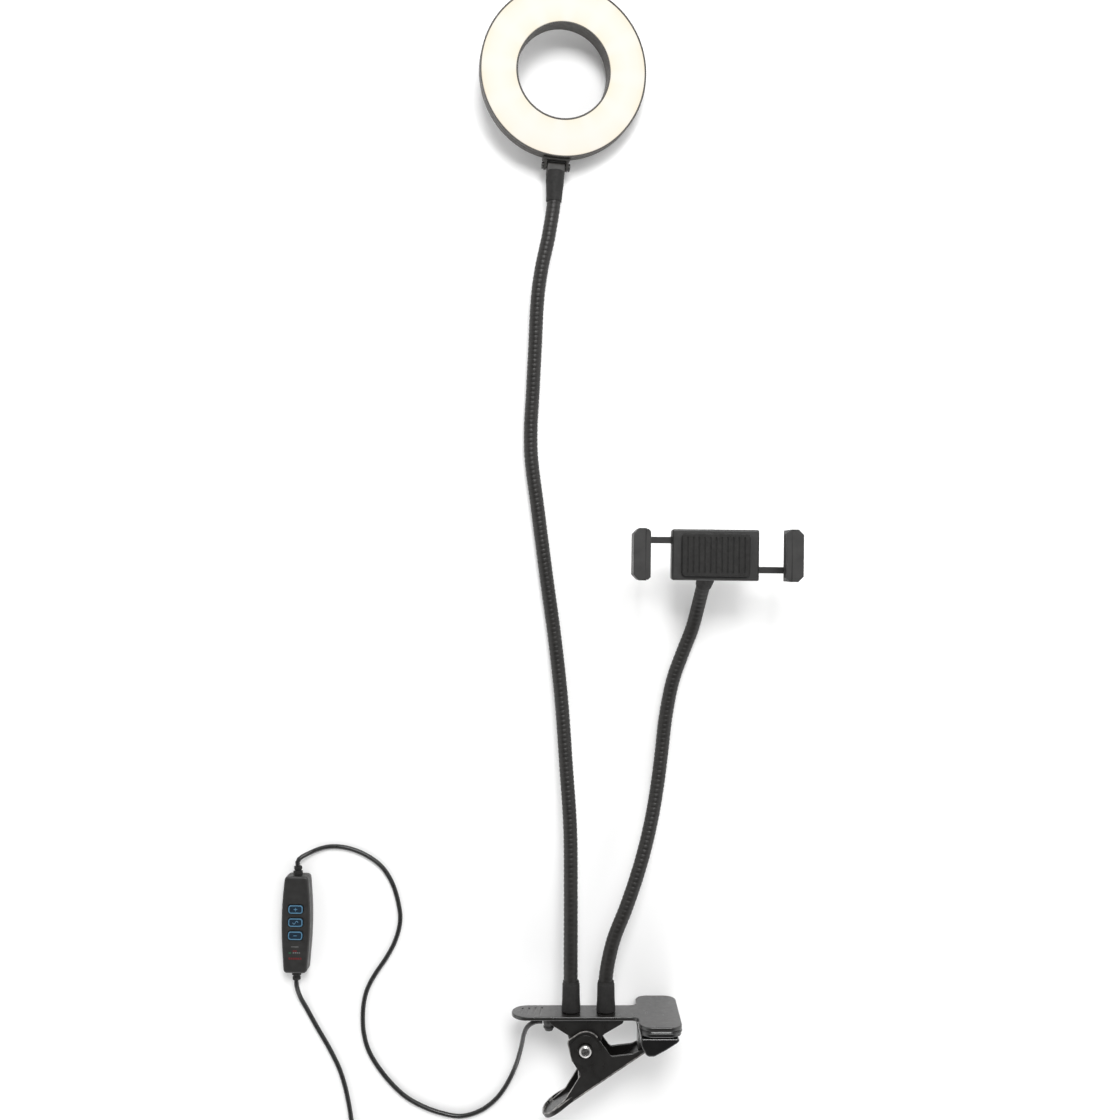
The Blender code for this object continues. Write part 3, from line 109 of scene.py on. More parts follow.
def spaced(curve, spacing):
    """Evenly spaced points along a curve, both ends kept."""
    total = length_of(curve)
    count = max(2, round(total / spacing))
    found = [curve[0].copy()]
    leg, passed = 0, 0.0
    for step in range(1, count):
        want = total * step / count
        while passed + (curve[leg + 1] - curve[leg]).length < want:
            passed += (curve[leg + 1] - curve[leg]).length
            leg += 1
        share = (want - passed) / (curve[leg + 1] - curve[leg]).length
        found.append(curve[leg].lerp(curve[leg + 1], share))
    found.append(curve[-1].copy())
    return found


def arc(centre, radius, start, end, steps):
    """Points on an arc, with its angles in degrees."""
    found = []
    for step in range(steps + 1):
        angle = math.radians(start + (end - start) * step / steps)
        found.append((centre[0] + radius * math.cos(angle), centre[1] + radius * math.sin(angle)))
    return found


def rounded(corners, steps=8):
    """The outline through corners of (x, y, radius) in millimetres, each corner turned into an arc."""
    outline = []
    count = len(corners)
    for index, (x, y, radius) in enumerate(corners):
        here = Vector((x, y))
        if not radius:
            outline.append(here)
            continue
        before = Vector(corners[index - 1][:2])
        after = Vector(corners[(index + 1) % count][:2])
        back = (before - here).normalized()
        ahead = (after - here).normalized()
        half = back.angle(ahead) / 2
        reach = radius / math.tan(half)
        middle = here + (back + ahead).normalized() * radius / math.sin(half)
        first = here + back * reach - middle
        sweep = first.angle_signed(here + ahead * reach - middle)
        for step in range(steps + 1):
            outline.append(middle + Matrix.Rotation(-sweep * step / steps, 2) @ first)
    return [(x * MM, y * MM) for x, y in outline]


def block_outline(low, high, radius):
    """A rectangle with round corners, in millimetres."""
    (x0, y0), (x1, y1) = low, high
    return rounded([(x0, y0, radius), (x1, y0, radius), (x1, y1, radius), (x0, y1, radius)])


def centred(x, y, half_x, half_y, radius):
    return block_outline((x - half_x, y - half_y), (x + half_x, y + half_y), radius)


# ---- meshes

def add(name, mesh, pose=Matrix()):
    obj = bpy.data.objects.new(name, mesh)
    bpy.context.scene.collection.objects.link(obj)
    obj.matrix_world = pose
    return obj


def mesh_from(name, bm):
    mesh = bpy.data.meshes.new(name)
    bm.to_mesh(mesh)
    bm.free()
    return mesh


def baked(obj, weld=0.0, flat=False):
    """Replaces an object by a plain mesh of what it shows. Points nearer than weld millimetres join."""
    bpy.context.view_layer.update()
    graph = bpy.context.evaluated_depsgraph_get()
    mesh = bpy.data.meshes.new_from_object(obj.evaluated_get(graph))
    name, pose = obj.name, obj.matrix_world.copy()
    bpy.data.objects.remove(obj, do_unlink=True)
    if weld:
        bm = bmesh.new()
        bm.from_mesh(mesh)
        bmesh.ops.remove_doubles(bm, verts=bm.verts, dist=weld * MM)
        bmesh.ops.dissolve_degenerate(bm, edges=bm.edges, dist=weld * MM)
        if flat:
            bmesh.ops.dissolve_limit(bm, angle_limit=LEVEL, verts=bm.verts, edges=bm.edges)
        bmesh.ops.recalc_face_normals(bm, faces=bm.faces)
        bm.to_mesh(mesh)
        bm.free()
    return add(name, mesh, pose)


def shaded(obj, sharp=SHARP):
    """Smooth faces with sharp edges kept, and flats that stay flat beside their rounded edges."""
    obj.data.shade_smooth()
    obj.data.set_sharp_from_angle(angle=sharp)
    weighted = obj.modifiers.new("flats", "WEIGHTED_NORMAL")
    weighted.keep_sharp = True
    weighted.weight = FLAT_WEIGHT
    return obj


def bevelled(obj, width, segments):
    modifier = obj.modifiers.new("edges", "BEVEL")
    modifier.width = width * MM
    modifier.segments = segments
    modifier.limit_method = "ANGLE"
    modifier.angle_limit = BEVELLED
    modifier.use_clamp_overlap = False
    return baked(obj)


def combine(obj, others, operation):
    """Joins other solids to obj or cuts them out of it, and removes them."""
    for other in others:
        modifier = obj.modifiers.new(other.name, "BOOLEAN")
        modifier.operation = operation
        modifier.solver = "EXACT"
        modifier.object = other
    obj = baked(obj)
    for other in others:
        bpy.data.objects.remove(other, do_unlink=True)
    return obj


def cut(obj, *others):
    return combine(obj, others, "DIFFERENCE")


def join(obj, *others):
    return combine(obj, others, "UNION")


def united(name, parts):
    """One object made of several."""
    whole = join(parts[0], *parts[1:]) if len(parts) > 1 else parts[0]
    whole.name = name
    return whole


def box(name, low, high, pose=Matrix(), edge=0.0, segments=3):
    """A block between two corners, in millimetres."""
    low, high = Vector(low) * MM, Vector(high) * MM
    bm = bmesh.new()
    bmesh.ops.create_cube(bm, size=1.0)
    bmesh.ops.scale(bm, vec=high - low, verts=bm.verts)
    bmesh.ops.translate(bm, vec=(low + high) / 2, verts=bm.verts)
    obj = add(name, mesh_from(name, bm), pose)
    return bevelled(obj, edge, segments) if edge else obj


def rod(name, radius, low, high, pose=Matrix(), sides=48, end_radius=None):
    """A cylinder or cone along the pose's Z, in millimetres."""
    end_radius = radius if end_radius is None else end_radius
    bm = bmesh.new()
    bmesh.ops.create_cone(bm, cap_ends=True, segments=sides, radius1=radius * MM, radius2=end_radius * MM,
                          depth=(high - low) * MM)
    bmesh.ops.translate(bm, vec=(0, 0, (low + high) / 2 * MM), verts=bm.verts)
    return add(name, mesh_from(name, bm), pose)


def turned(name, corners, pose=Matrix(), steps=64, ring=False, arcs=4):
    """A profile of (radius, height, fillet) in millimetres turned about Z. It runs down the outer side."""
    profile = rounded(corners, arcs) if len(corners[0]) == 3 else [(r * MM, z * MM) for r, z in corners]
    bm = bmesh.new()
    points = [bm.verts.new((radius, 0, height)) for radius, height in profile]
    for first, second in zip(points, points[1:]):
        bm.edges.new((first, second))
    if ring:
        bm.edges.new((points[-1], points[0]))
    obj = add(name, mesh_from(name, bm), pose)
    screw = obj.modifiers.new("turn", "SCREW")
    screw.axis = "Z"
    screw.steps = screw.render_steps = steps
    screw.use_merge_vertices = True
    screw.merge_threshold = WELD * MM
    return baked(obj, weld=WELD)


def extruded(name, outline, low, high, pose=Matrix(), edge=0.0, steps=2):
    """An outline in metres thickened along the pose's Z, from low to high in millimetres, edges rounded."""
    curve = bpy.data.curves.new(name, "CURVE")
    curve.dimensions = "2D"
    curve.fill_mode = "BOTH"
    curve.extrude = (high - low) / 2 * MM - edge * MM
    curve.bevel_depth = edge * MM
    curve.bevel_resolution = steps
    curve.offset = -edge * MM
    spline = curve.splines.new("POLY")
    spline.points.add(len(outline) - 1)
    for point, (x, y) in zip(spline.points, outline):
        point.co = (x, y, 0, 1)
    spline.use_cyclic_u = True
    obj = baked(add(name, curve, pose), weld=WELD, flat=not edge)
    obj.data.transform(Matrix.Translation((0, 0, (low + high) / 2 * MM)))
    return obj


def wire(name, points, radius, resolution=5):
    """A round tube along points, as a curve of one open spline."""
    curve = bpy.data.curves.new(name, "CURVE")
    curve.dimensions = "3D"
    curve.bevel_depth = radius * MM
    curve.bevel_resolution = resolution
    curve.use_fill_caps = True
    spline = curve.splines.new("POLY")
    spline.points.add(len(points) - 1)
    for point, place in zip(spline.points, points):
        point.co = (*place, 1)
    return add(name, curve)


def wire_mesh(name, points, radius, resolution=5):
    return shaded(baked(wire(name, points, radius, resolution), weld=WELD))


# ---- materials

class Surface:
    """A material whose colour, roughness and relief come from textures in the piece's own space."""

    def __init__(self, name, roughness=0.5, metallic=0.0, specular=0.5):
        self.material = bpy.data.materials.new(name)
        self.material.use_nodes = True
        self.tree = self.material.node_tree
        self.shader = self.tree.nodes["Principled BSDF"]
        self.shader.inputs["Roughness"].default_value = roughness
        self.shader.inputs["Metallic"].default_value = metallic
        self.shader.inputs["Specular IOR Level"].default_value = specular
        self.place = self.node("ShaderNodeTexCoord").outputs["Object"]

    def node(self, kind, **settings):
        made = self.tree.nodes.new(kind)
        for key, value in settings.items():
            setattr(made, key, value)
        return made

    def link(self, output, target):
        self.tree.links.new(output, target)

    def noise(self, size, detail=3.0):
        """Noise with features of about that size in millimetres."""
        texture = self.node("ShaderNodeTexNoise")
        texture.inputs["Scale"].default_value = 1 / (size * MM)
        texture.inputs["Detail"].default_value = detail
        self.link(self.place, texture.inputs["Vector"])
        return texture.outputs["Fac"]

    def ramp(self, factor, *stops):
        """Colours by (position, colour) stops."""
        ramp = self.node("ShaderNodeValToRGB")
        ramp.color_ramp.elements[0].position = stops[0][0]
        ramp.color_ramp.elements[1].position = stops[-1][0]
        for position, _ in stops[1:-1]:
            ramp.color_ramp.elements.new(position)
        for element, (_, color) in zip(ramp.color_ramp.elements, stops):
            element.color = (*color, 1.0)
        self.link(factor, ramp.inputs["Fac"])
        return ramp.outputs["Color"]

    def spread(self, factor, low, high, start=0.3, end=0.7):
        """Maps a texture's usual range to low..high."""
        mapped = self.node("ShaderNodeMapRange")
        for socket, value in (("From Min", start), ("From Max", end), ("To Min", low), ("To Max", high)):
            mapped.inputs[socket].default_value = value
        self.link(factor, mapped.inputs["Value"])
        return mapped.outputs["Result"]

    def mottle(self, dark, light, size):
        """Colour patches of about that size in millimetres."""
        color = self.ramp(self.noise(size), (0.32, dark), (0.68, light))
        self.link(color, self.shader.inputs["Base Color"])
        return self

    def polish(self, low, high, size):
        """Roughness that wanders between two values."""
        rough = self.spread(self.noise(size, 5.0), low, high)
        self.link(rough, self.shader.inputs["Roughness"])
        return self

    def bump(self, height, depth):
        """Relief from a height texture, its depth in millimetres. The last step: it gives the material."""
        node = self.node("ShaderNodeBump")
        node.inputs["Strength"].default_value = 1.0
        node.inputs["Distance"].default_value = depth * MM
        self.link(height, node.inputs["Height"])
        self.link(node.outputs["Normal"], self.shader.inputs["Normal"])
        return self.material


def grey(value, warm=0.0):
    return (value * (1 + warm), value, value * (1 - warm))


def make_coat():
    """Satin powder coat on pressed steel."""
    made = Surface("satin_black_coat", specular=0.5)
    made.shader.inputs["Coat Weight"].default_value = 0.5
    made.shader.inputs["Coat Roughness"].default_value = 0.25
    made.mottle(grey(0.004, 0.10), grey(0.007, 0.10), 9.0).polish(0.26, 0.38, 3.5)
    return made.bump(made.noise(0.55, 2.0), 0.018)


def make_worn_and_highlight_edge():
    """The coat rubbed thin where it is folded or sheared, made light enough that it also paints the highlights
    along those edges.
    """
    made = Surface("worn_and_highlight_edge", metallic=0.35, specular=0.6)
    wear_and_highlight = made.noise(2.2, 6.0)
    color = made.ramp(wear_and_highlight, (0.42, grey(0.09, 0.03)), (0.62, grey(0.27, 0.05)))
    made.link(color, made.shader.inputs["Base Color"])
    made.polish(0.25, 0.42, 1.2)
    return made.material


def make_neck():
    """Black vinyl-coated steel hose."""
    made = Surface("neck_coating", specular=0.4)
    made.mottle(grey(0.005, 0.12), grey(0.009, 0.12), 5.0).polish(0.36, 0.54, 1.6)
    return made.bump(made.noise(0.35, 3.0), 0.02)


def make_plastic(name, dark, light, rough, grain, depth, warm):
    """Moulded plastic with a spark-eroded grain."""
    made = Surface(name, specular=0.5)
    made.mottle(grey(dark, warm), grey(light, warm), 6.0).polish(rough - 0.06, rough + 0.08, 2.5)
    return made.bump(made.noise(grain, 2.0), depth)


def make_gloss():
    """Smooth glossy black, with faint rub marks."""
    made = Surface("gloss_black", specular=0.5)
    made.shader.inputs["Coat Weight"].default_value = 0.4
    made.shader.inputs["Coat Roughness"].default_value = 0.08
    made.mottle(grey(0.003), grey(0.005), 7.0).polish(0.14, 0.26, 4.0)
    return made.bump(made.noise(3.0, 1.0), 0.03)


def make_steel(name, color, rough):
    """Plated steel with a fine, uneven sheen."""
    made = Surface(name, metallic=1.0)
    made.mottle(grey(color * 0.82, 0.02), grey(color, 0.02), 1.5).polish(rough - 0.08, rough + 0.12, 0.9)
    return made.bump(made.noise(0.25, 2.0), 0.008)


def make_rubber():
    """Dull rubber with a fine grain."""
    made = Surface("black_rubber", specular=0.4)
    made.mottle(grey(0.005, 0.06), grey(0.009, 0.06), 4.0).polish(0.62, 0.80, 1.5)
    return made.bump(made.noise(0.3, 3.0), 0.02)


def make_sheath():
    """Smooth vinyl with a slight waviness along the cord."""
    made = Surface("cord_sheath", specular=0.5)
    made.mottle(grey(0.006), grey(0.010), 12.0).polish(0.24, 0.36, 3.0)
    return made.bump(made.noise(4.0, 1.0), 0.05)


def make_board():
    """White solder mask."""
    made = Surface("board_white", roughness=0.5)
    made.mottle((0.72, 0.73, 0.70), (0.82, 0.82, 0.78), 3.0)
    return made.bump(made.noise(0.5, 2.0), 0.01)


def make_diffuser(inner, outer):
    """Milky cover over lit LEDs: whitest along its middle and over each lamp, cream towards its edges."""
    made = Surface("lit_diffuser", roughness=0.6, specular=0.2)
    made.shader.inputs["Base Color"].default_value = (0.12, 0.118, 0.11, 1)
    made.shader.inputs["Emission Strength"].default_value = DIFFUSER_GLOW
    length = made.node("ShaderNodeVectorMath", operation="LENGTH")
    made.link(made.place, length.inputs[0])
    across = made.spread(length.outputs["Value"], 0.0, 1.0, inner, outer)
    cream, pale, milk = (1.0, 0.92, 0.74), (1.0, 0.955, 0.83), (1.0, 0.98, 0.89)
    glow = made.ramp(across, (0.0, cream), (0.22, pale), (0.5, milk), (0.8, pale), (1.0, (1.0, 0.91, 0.72)))
    parts = made.node("ShaderNodeSeparateXYZ")
    made.link(made.place, parts.inputs[0])
    angle = made.node("ShaderNodeMath", operation="ARCTAN2")
    made.link(parts.outputs["Y"], angle.inputs[0])
    made.link(parts.outputs["X"], angle.inputs[1])
    lamps = made.node("ShaderNodeMath", operation="MULTIPLY")
    lamps.inputs[1].default_value = LAMP_COUNT
    made.link(angle.outputs[0], lamps.inputs[0])
    wave = made.node("ShaderNodeMath", operation="COSINE")
    made.link(lamps.outputs[0], wave.inputs[0])
    # A faint lift over each lamp, and a warmer patch at the neck's side.
    lift = made.spread(wave.outputs[0], 0.0, 0.55, -0.2, 1.0)
    warmth = made.spread(parts.outputs["Y"], 0.55, 0.0, -44 * MM, -18 * MM)
    for share, color in ((lift, (1.0, 0.985, 0.93, 1)), (warmth, (1.0, 0.925, 0.835, 1))):
        mixed = made.node("ShaderNodeMix", data_type="RGBA")
        made.link(share, mixed.inputs[0])
        made.link(glow, mixed.inputs[6])
        mixed.inputs[7].default_value = color
        glow = mixed.outputs[2]
    made.link(glow, made.shader.inputs["Emission Color"])
    return made.bump(made.noise(1.2, 2.0), 0.01)


def make_print(name, color, roughness=0.4):
    """Printed or moulded-in colour with a little unevenness."""
    made = Surface(name, roughness=roughness)
    darker = tuple(value * 0.72 for value in color)
    made.mottle(darker, color, 0.9)
    return made.bump(made.noise(0.3, 2.0), 0.008)


def kept(slot, material):
    """Notes the record's slot that a material belongs to."""
    SLOTS[material.name] = slot
    return material


SLOTS = {}
LAMP_COUNT = 12
DIFFUSER_GLOW = 0.80
HOLE_RADIUS, RING_RADIUS, RIM_THICK = 25.3, 46.0, 0.7

COAT = kept("coated_steel", make_coat())
# Worn coat that also paints the highlights on the lever's lit edges.
WORN_AND_HIGHLIGHT = kept("coated_steel", make_worn_and_highlight_edge())
NECK = kept("neck_coating", make_neck())
GLOSS = kept("gloss_black", make_gloss())
RUBBER = kept("black_rubber", make_rubber())
SHEATH = kept("cord_sheath", make_sheath())
BOARD = make_board()
STEEL = kept("bright_steel", make_steel("bright_steel", 0.42, 0.24))
DARK_STEEL = kept("coated_steel", make_steel("black_oxide_steel", 0.07, 0.36))
# Darkest and lightest colour, roughness, grain's size and depth in millimetres, warmth.
PLASTIC, BASE_PLASTIC_PAINTED_SHEEN, BRACKET_PLASTIC, JAW_PLASTIC, HOUSING = (
    kept(slot, make_plastic(*look)) for slot, *look in (
        ("black_plastic", "black_plastic", 0.012, 0.018, 0.42, 0.45, 0.02, 0.03),
        # The switch's lower shell: black plastic given a lighter colour that paints the reflection along its
        # side.
        ("black_plastic", "switch_base_plastic_painted_sheen", 0.045, 0.060, 0.5, 0.35, 0.02, 0.03),
        ("black_plastic", "bracket_plastic", 0.012, 0.017, 0.55, 0.35, 0.02, 0.12),
        ("black_plastic", "jaw_plastic", 0.012, 0.019, 0.55, 0.35, 0.03, 0.03),
        ("grey_plastic", "housing_plastic", 0.024, 0.032, 0.46, 0.40, 0.02, 0.14),
    )
)
BLUE, PALE_BLUE, MARK_WHITE, MARK_RED, MARK_GREEN, CONTACT, TONGUE = (
    kept(slot, make_print(*look)) for slot, *look in (
        ("button_blue", "button_blue", (0.008, 0.020, 0.036), 0.3),
        ("button_blue", "button_edge_blue", (0.085, 0.20, 0.31), 0.35),
        ("board_white", "mark_white", (0.20, 0.20, 0.20)),
        ("board_white", "mark_red", (0.12, 0.010, 0.012)),
        ("board_white", "mark_green", (0.02, 0.11, 0.05)),
        ("bright_steel", "contact_gold", (0.75, 0.52, 0.20), 0.3),
        ("board_white", "tongue_white", (0.62, 0.62, 0.60), 0.45),
    )
)


def finish(obj, material, body, *nodes, slot=None, sharp=SHARP, extra=()):
    """Gives a piece its shading, materials, body and the CAD nodes it stands for."""
    if sharp:
        shaded(obj, sharp)
    obj.data.materials.clear()
    for item in (material, *extra):
        obj.data.materials.append(item)
    slot = slot or SLOTS[material.name]
    if body:
        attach(obj, body)
    if nodes:
        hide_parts(*nodes)
    return obj


def repaint(node, material):
    """A CAD node that keeps its shape gets a finished material."""
    obj = frame["nodes"][node]
    obj.data.materials.clear()
    obj.data.materials.append(material)


# ---- camera, floor and light

CAMERA_PLACE = Vector((-40.82, -6.38, 677.5)) * MM
SENSOR_WIDTH = 36
FOCAL_LENGTH = SENSOR_WIDTH * 1200 / 1120
FLOOR_PLACE, FLOOR_HALF = Vector((0, 0, -0.08)) * MM, 6.0
SKY_STRENGTH = 1.6
SKY_LEVELS = ((0.40, 1.0), (0.88, 0.08))
LAMP_AIM = Vector((-0.04, 0, 0))
LAMPS = (
    ("key_light", (0.04, 0.60, 1.02), 0.42, 9.5),
    ("streak_light", (0.45, 0.45, 1.40), 0.40, 2.5),
    ("edge_light", (0.10, -1.30, 0.45), 0.60, 2.5),
)


def make_sky():
    """A white studio with a darker ceiling, so that flat black faces stay black."""
    world = bpy.data.worlds.new("studio")
    world.use_nodes = True
    tree = world.node_tree
    way = tree.nodes.new("ShaderNodeTexCoord")
    parts = tree.nodes.new("ShaderNodeSeparateXYZ")
    ramp = tree.nodes.new("ShaderNodeValToRGB")
    for element, (position, level) in zip(ramp.color_ramp.elements, SKY_LEVELS):
        element.position = position
        element.color = (level, level, level, 1)
    tree.links.new(way.outputs["Generated"], parts.inputs[0])
    tree.links.new(parts.outputs["Z"], ramp.inputs["Fac"])
    tree.links.new(ramp.outputs["Color"], tree.nodes["Background"].inputs["Color"])
    tree.nodes["Background"].inputs["Strength"].default_value = SKY_STRENGTH
    bpy.context.scene.world = world


def make_stage():
    """The camera straight above, a pale floor, a large soft light and two weaker ones."""
    camera = bpy.data.objects.new("camera", bpy.data.cameras.new("camera"))
    bpy.context.scene.collection.objects.link(camera)
    camera.location = CAMERA_PLACE
    camera.data.sensor_width = SENSOR_WIDTH
    camera.data.lens = FOCAL_LENGTH
    camera.data.clip_start = 0.01
    bpy.context.scene.camera = camera

    bm = bmesh.new()
    bmesh.ops.create_grid(bm, x_segments=1, y_segments=1, size=FLOOR_HALF)
    floor = add("floor", mesh_from("floor", bm), Matrix.Translation(FLOOR_PLACE))
    pale = Surface("pale_surface", roughness=0.75, specular=0.3)
    pale.mottle((0.91, 0.91, 0.91), (0.93, 0.93, 0.925), 160.0)
    floor.data.materials.append(pale.bump(pale.noise(0.8, 3.0), 0.02))

    make_sky()
    bpy.context.scene.view_settings.view_transform = "Standard"
    for name, place, size, power in LAMPS:
        light = bpy.data.lights.new(name, "AREA")
        light.size = size
        light.energy = power
        obj = bpy.data.objects.new(name, light)
        bpy.context.scene.collection.objects.link(obj)
        obj.location = place
        obj.rotation_euler = (LAMP_AIM - obj.location).to_track_quat("-Z", "Y").to_euler()


make_stage()

# ---- lead

CORD_RADIUS = 1.27
CORD_FLOOR = CORD_RADIUS + 0.05
TURN_PITCH = 2.85
COIL_CENTRE = (-138.0, -352.0)
COIL_TURN = 19.4
COIL_DOWN_TURNS, COIL_UP_TURNS = 4, 3
TURN_POINTS = 48
PLUG = (-117.0, COIL_CENTRE[1] - COIL_TURN, 4.3)
PLUG_NECK = 8.5
SWITCH = Matrix.Translation(at(-188.35, -209.2, 0)) @ Matrix.Rotation(math.radians(-0.8), 4, "Z")
SWITCH_LENGTH, SWITCH_SPLIT, SWITCH_HIGH = 53.8, 5.0, 10.0
RELIEF_REACH = SWITCH_LENGTH / 2 + 3.0
KEY_Y, KEY_PITCH = 8.9, 7.3
STROKE = 0.19


def relief_end(side, beyond=0.0):
    """Where the lead meets a strain relief of the switch, or a point straight out from there."""
    return SWITCH @ (Vector((0, side * (RELIEF_REACH + beyond), SWITCH_SPLIT)) * MM)


def lead_to_switch():
    """From the gland down to the floor, round in a long bend and up into the switch."""
    on_floor = [
        (-71.2, -301.4), (-77.6, -310.0), (-86.3, -316.4), (-97.0, -319.4), (-107.8, -317.7),
        (-118.6, -313.8), (-129.4, -307.4), (-140.1, -296.4), (-148.2, -284.1), (-151.6, -273.4),
        (-152.3, -263.7), (-151.6, -254.6), (-149.4, -246.8), (-144.9, -238.6), (-138.6, -229.3),
        (-133.6, -219.3), (-131.2, -208.5), (-132.6, -197.7), (-136.0, -187.4), (-141.8, -178.6),
        (-150.2, -172.4), (-158.9, -168.8), (-167.1, -167.4), (-174.6, -168.1),
    ]
    route = [at(-50.75, -257.3, 23.75), at(-54.6, -257.6, 23.7), at(-58.6, -260.4, 22.3)]
    route += [at(-61.0, -266.6, 17.5), at(-62.9, -277.8, 8.6), at(-66.0, -290.0, 2.7)]
    route += [at(x, y, CORD_FLOOR) for x, y in on_floor]
    route += [at(-182.2, -170.8, 2.6), relief_end(1, 5.2), relief_end(1)]
    return smooth(route)


def coil_point(turn):
    """The wound stretch: four turns inwards on the floor, then three outwards on top of them."""
    def eased(start, end):
        share = min(1.0, max(0.0, (turn - start) / (end - start)))
        return share * share * (3 - 2 * share)
    steps_in = sum(eased(n - 0.2, n) for n in range(1, COIL_DOWN_TURNS))
    steps_out = sum(eased(n - 0.2, n) for n in range(COIL_DOWN_TURNS, COIL_DOWN_TURNS + COIL_UP_TURNS))
    radius = COIL_TURN - TURN_PITCH * (steps_in - steps_out)
    height = CORD_FLOOR + (PLUG[2] - CORD_FLOOR) * eased(COIL_DOWN_TURNS - 0.45, COIL_DOWN_TURNS - 0.22)
    angle = math.pi + 2 * math.pi * turn
    x, y = COIL_CENTRE
    return at(x + radius * math.cos(angle), y + radius * math.sin(angle), height)


def lead_to_plug():
    """From the switch along the floor to the coil, through its turns and into the plug's neck."""
    on_floor = [
        (-184.0, -258.6), (-178.0, -269.4), (-171.4, -280.7), (-166.0, -291.5), (-162.7, -301.2),
        (-160.3, -311.9), (-158.8, -321.5), (-158.0, -331.0), (-157.6, -340.9),
    ]
    route = [relief_end(-1), relief_end(-1, 5.2), at(-187.2, -252.0, 2.4)]
    route += [at(x, y, CORD_FLOOR) for x, y in on_floor]
    wound = COIL_DOWN_TURNS + COIL_UP_TURNS + 0.25
    count = round(wound * TURN_POINTS)
    turns = [coil_point(wound * step / count) for step in range(count + 1)]
    end = at(PLUG[0] - PLUG_NECK + 1.0, PLUG[1], PLUG[2])
    return smooth(route + turns[:1])[:-1] + turns + [end]


def sleeve_profile(radius, low, high, ribs):
    """A ribbed strain relief: collars with narrow waists between them."""
    step = (high - low) / ribs
    corners = [(0, high, 0)]
    for rib in range(ribs):
        top = high - rib * step
        wide = radius * (0.72 + 0.28 * (rib + 1) / ribs)
        corners += [(wide, top, 0.25), (wide, top - step * 0.62, 0.2)]
        corners += [(wide * 0.82, top - step * 0.62 - 0.1, 0.1), (wide * 0.82, top - step + 0.1, 0.1)]
    return corners + [(radius, low, 0.2), (0, low, 0)]


def make_switch():
    """Two shells, three keys with pale edges and plain signs, and small plain printed marks."""
    def outline(inset):
        long, wide, narrow = SWITCH_LENGTH / 2 - inset, 8.7 - inset, 6.45 - inset
        return rounded([(-narrow, long, 2.2), (-wide, 4, 200), (-narrow, -long, 2.2),
                        (narrow, -long, 2.2), (wide, 4, 200), (narrow, long, 2.2)], 10)
    lower = extruded("switch_back", outline(0), 0, SWITCH_SPLIT, SWITCH, edge=0.9, steps=3)
    lower = cut(lower, extruded("lower_room", outline(1.5), 1.5, SWITCH_SPLIT + 2, SWITCH))
    # The lower shell's lighter plastic paints the reflection along the switch's side.
    finish(lower, BASE_PLASTIC_PAINTED_SHEEN, "clip", "switch_bottom_shell")
    seam = SWITCH_SPLIT + 0.3
    upper = extruded("switch_cover", outline(0), seam - 2, SWITCH_HIGH, SWITCH, edge=1.1, steps=3)
    upper = cut(upper, box("under", (-20, -40, SWITCH_SPLIT - 3), (20, 40, seam), SWITCH))
    windows = []
    for index in range(3):
        window = centred(0, KEY_Y - KEY_PITCH * index, 4.4, 2.75, 1.8)
        windows.append(extruded(f"window_{index}", window, SWITCH_HIGH - 4, SWITCH_HIGH + 1, SWITCH))
    room = extruded("upper_room", outline(1.5), SWITCH_SPLIT - 1, SWITCH_HIGH - 1.5, SWITCH)
    finish(cut(upper, room, *windows), PLASTIC, "clip", "switch_top_shell")
    for index, name in enumerate(("brighter", "mode", "dimmer")):
        make_button(index, name)
    # Name, ink, low corner, high corner, how many and how far apart.
    marks = (
        ("mark_line", MARK_WHITE, (-2.3, -12.15), (1.9, -11.9), 1, 0),
        ("mark_red_dots", MARK_RED, (-1.4, -14.7), (0.9, -14.0), 1, 0),
        ("mark_green_dot", MARK_GREEN, (-3.6, -15.8), (-2.2, -15.1), 1, 0),
        ("mark_dashes", MARK_WHITE, (-1.3, -15.6), (-0.6, -15.1), 4, 1.1),
        ("mark_red_bar", MARK_RED, (-3.6, -19.1), (-2.7, -18.0), 6, 1.25),
    )
    for name, ink, (x0, y0), (x1, y1), count, pitch in marks:
        dashes = []
        for index in range(count):
            shape = block_outline((x0 + pitch * index, y0), (x1 + pitch * index, y1), 0.1)
            dashes.append(extruded("dash", shape, SWITCH_HIGH - 0.02, SWITCH_HIGH + 0.03, SWITCH))
        finish(united(name, dashes), ink, "clip", sharp=None)
    for side, name in ((1, "lamp_side"), (-1, "plug_side")):
        inside = Vector((0, side * (SWITCH_LENGTH / 2 - 0.6), SWITCH_SPLIT)) * MM
        out = SWITCH @ pose_of(inside, X_AXIS, (0, side, 0))
        sleeve = turned(f"sleeve_{name}", sleeve_profile(2.6, 0, 5.4, 2), out, 40)
        finish(sleeve, RUBBER, "clip", f"relief_{name}")


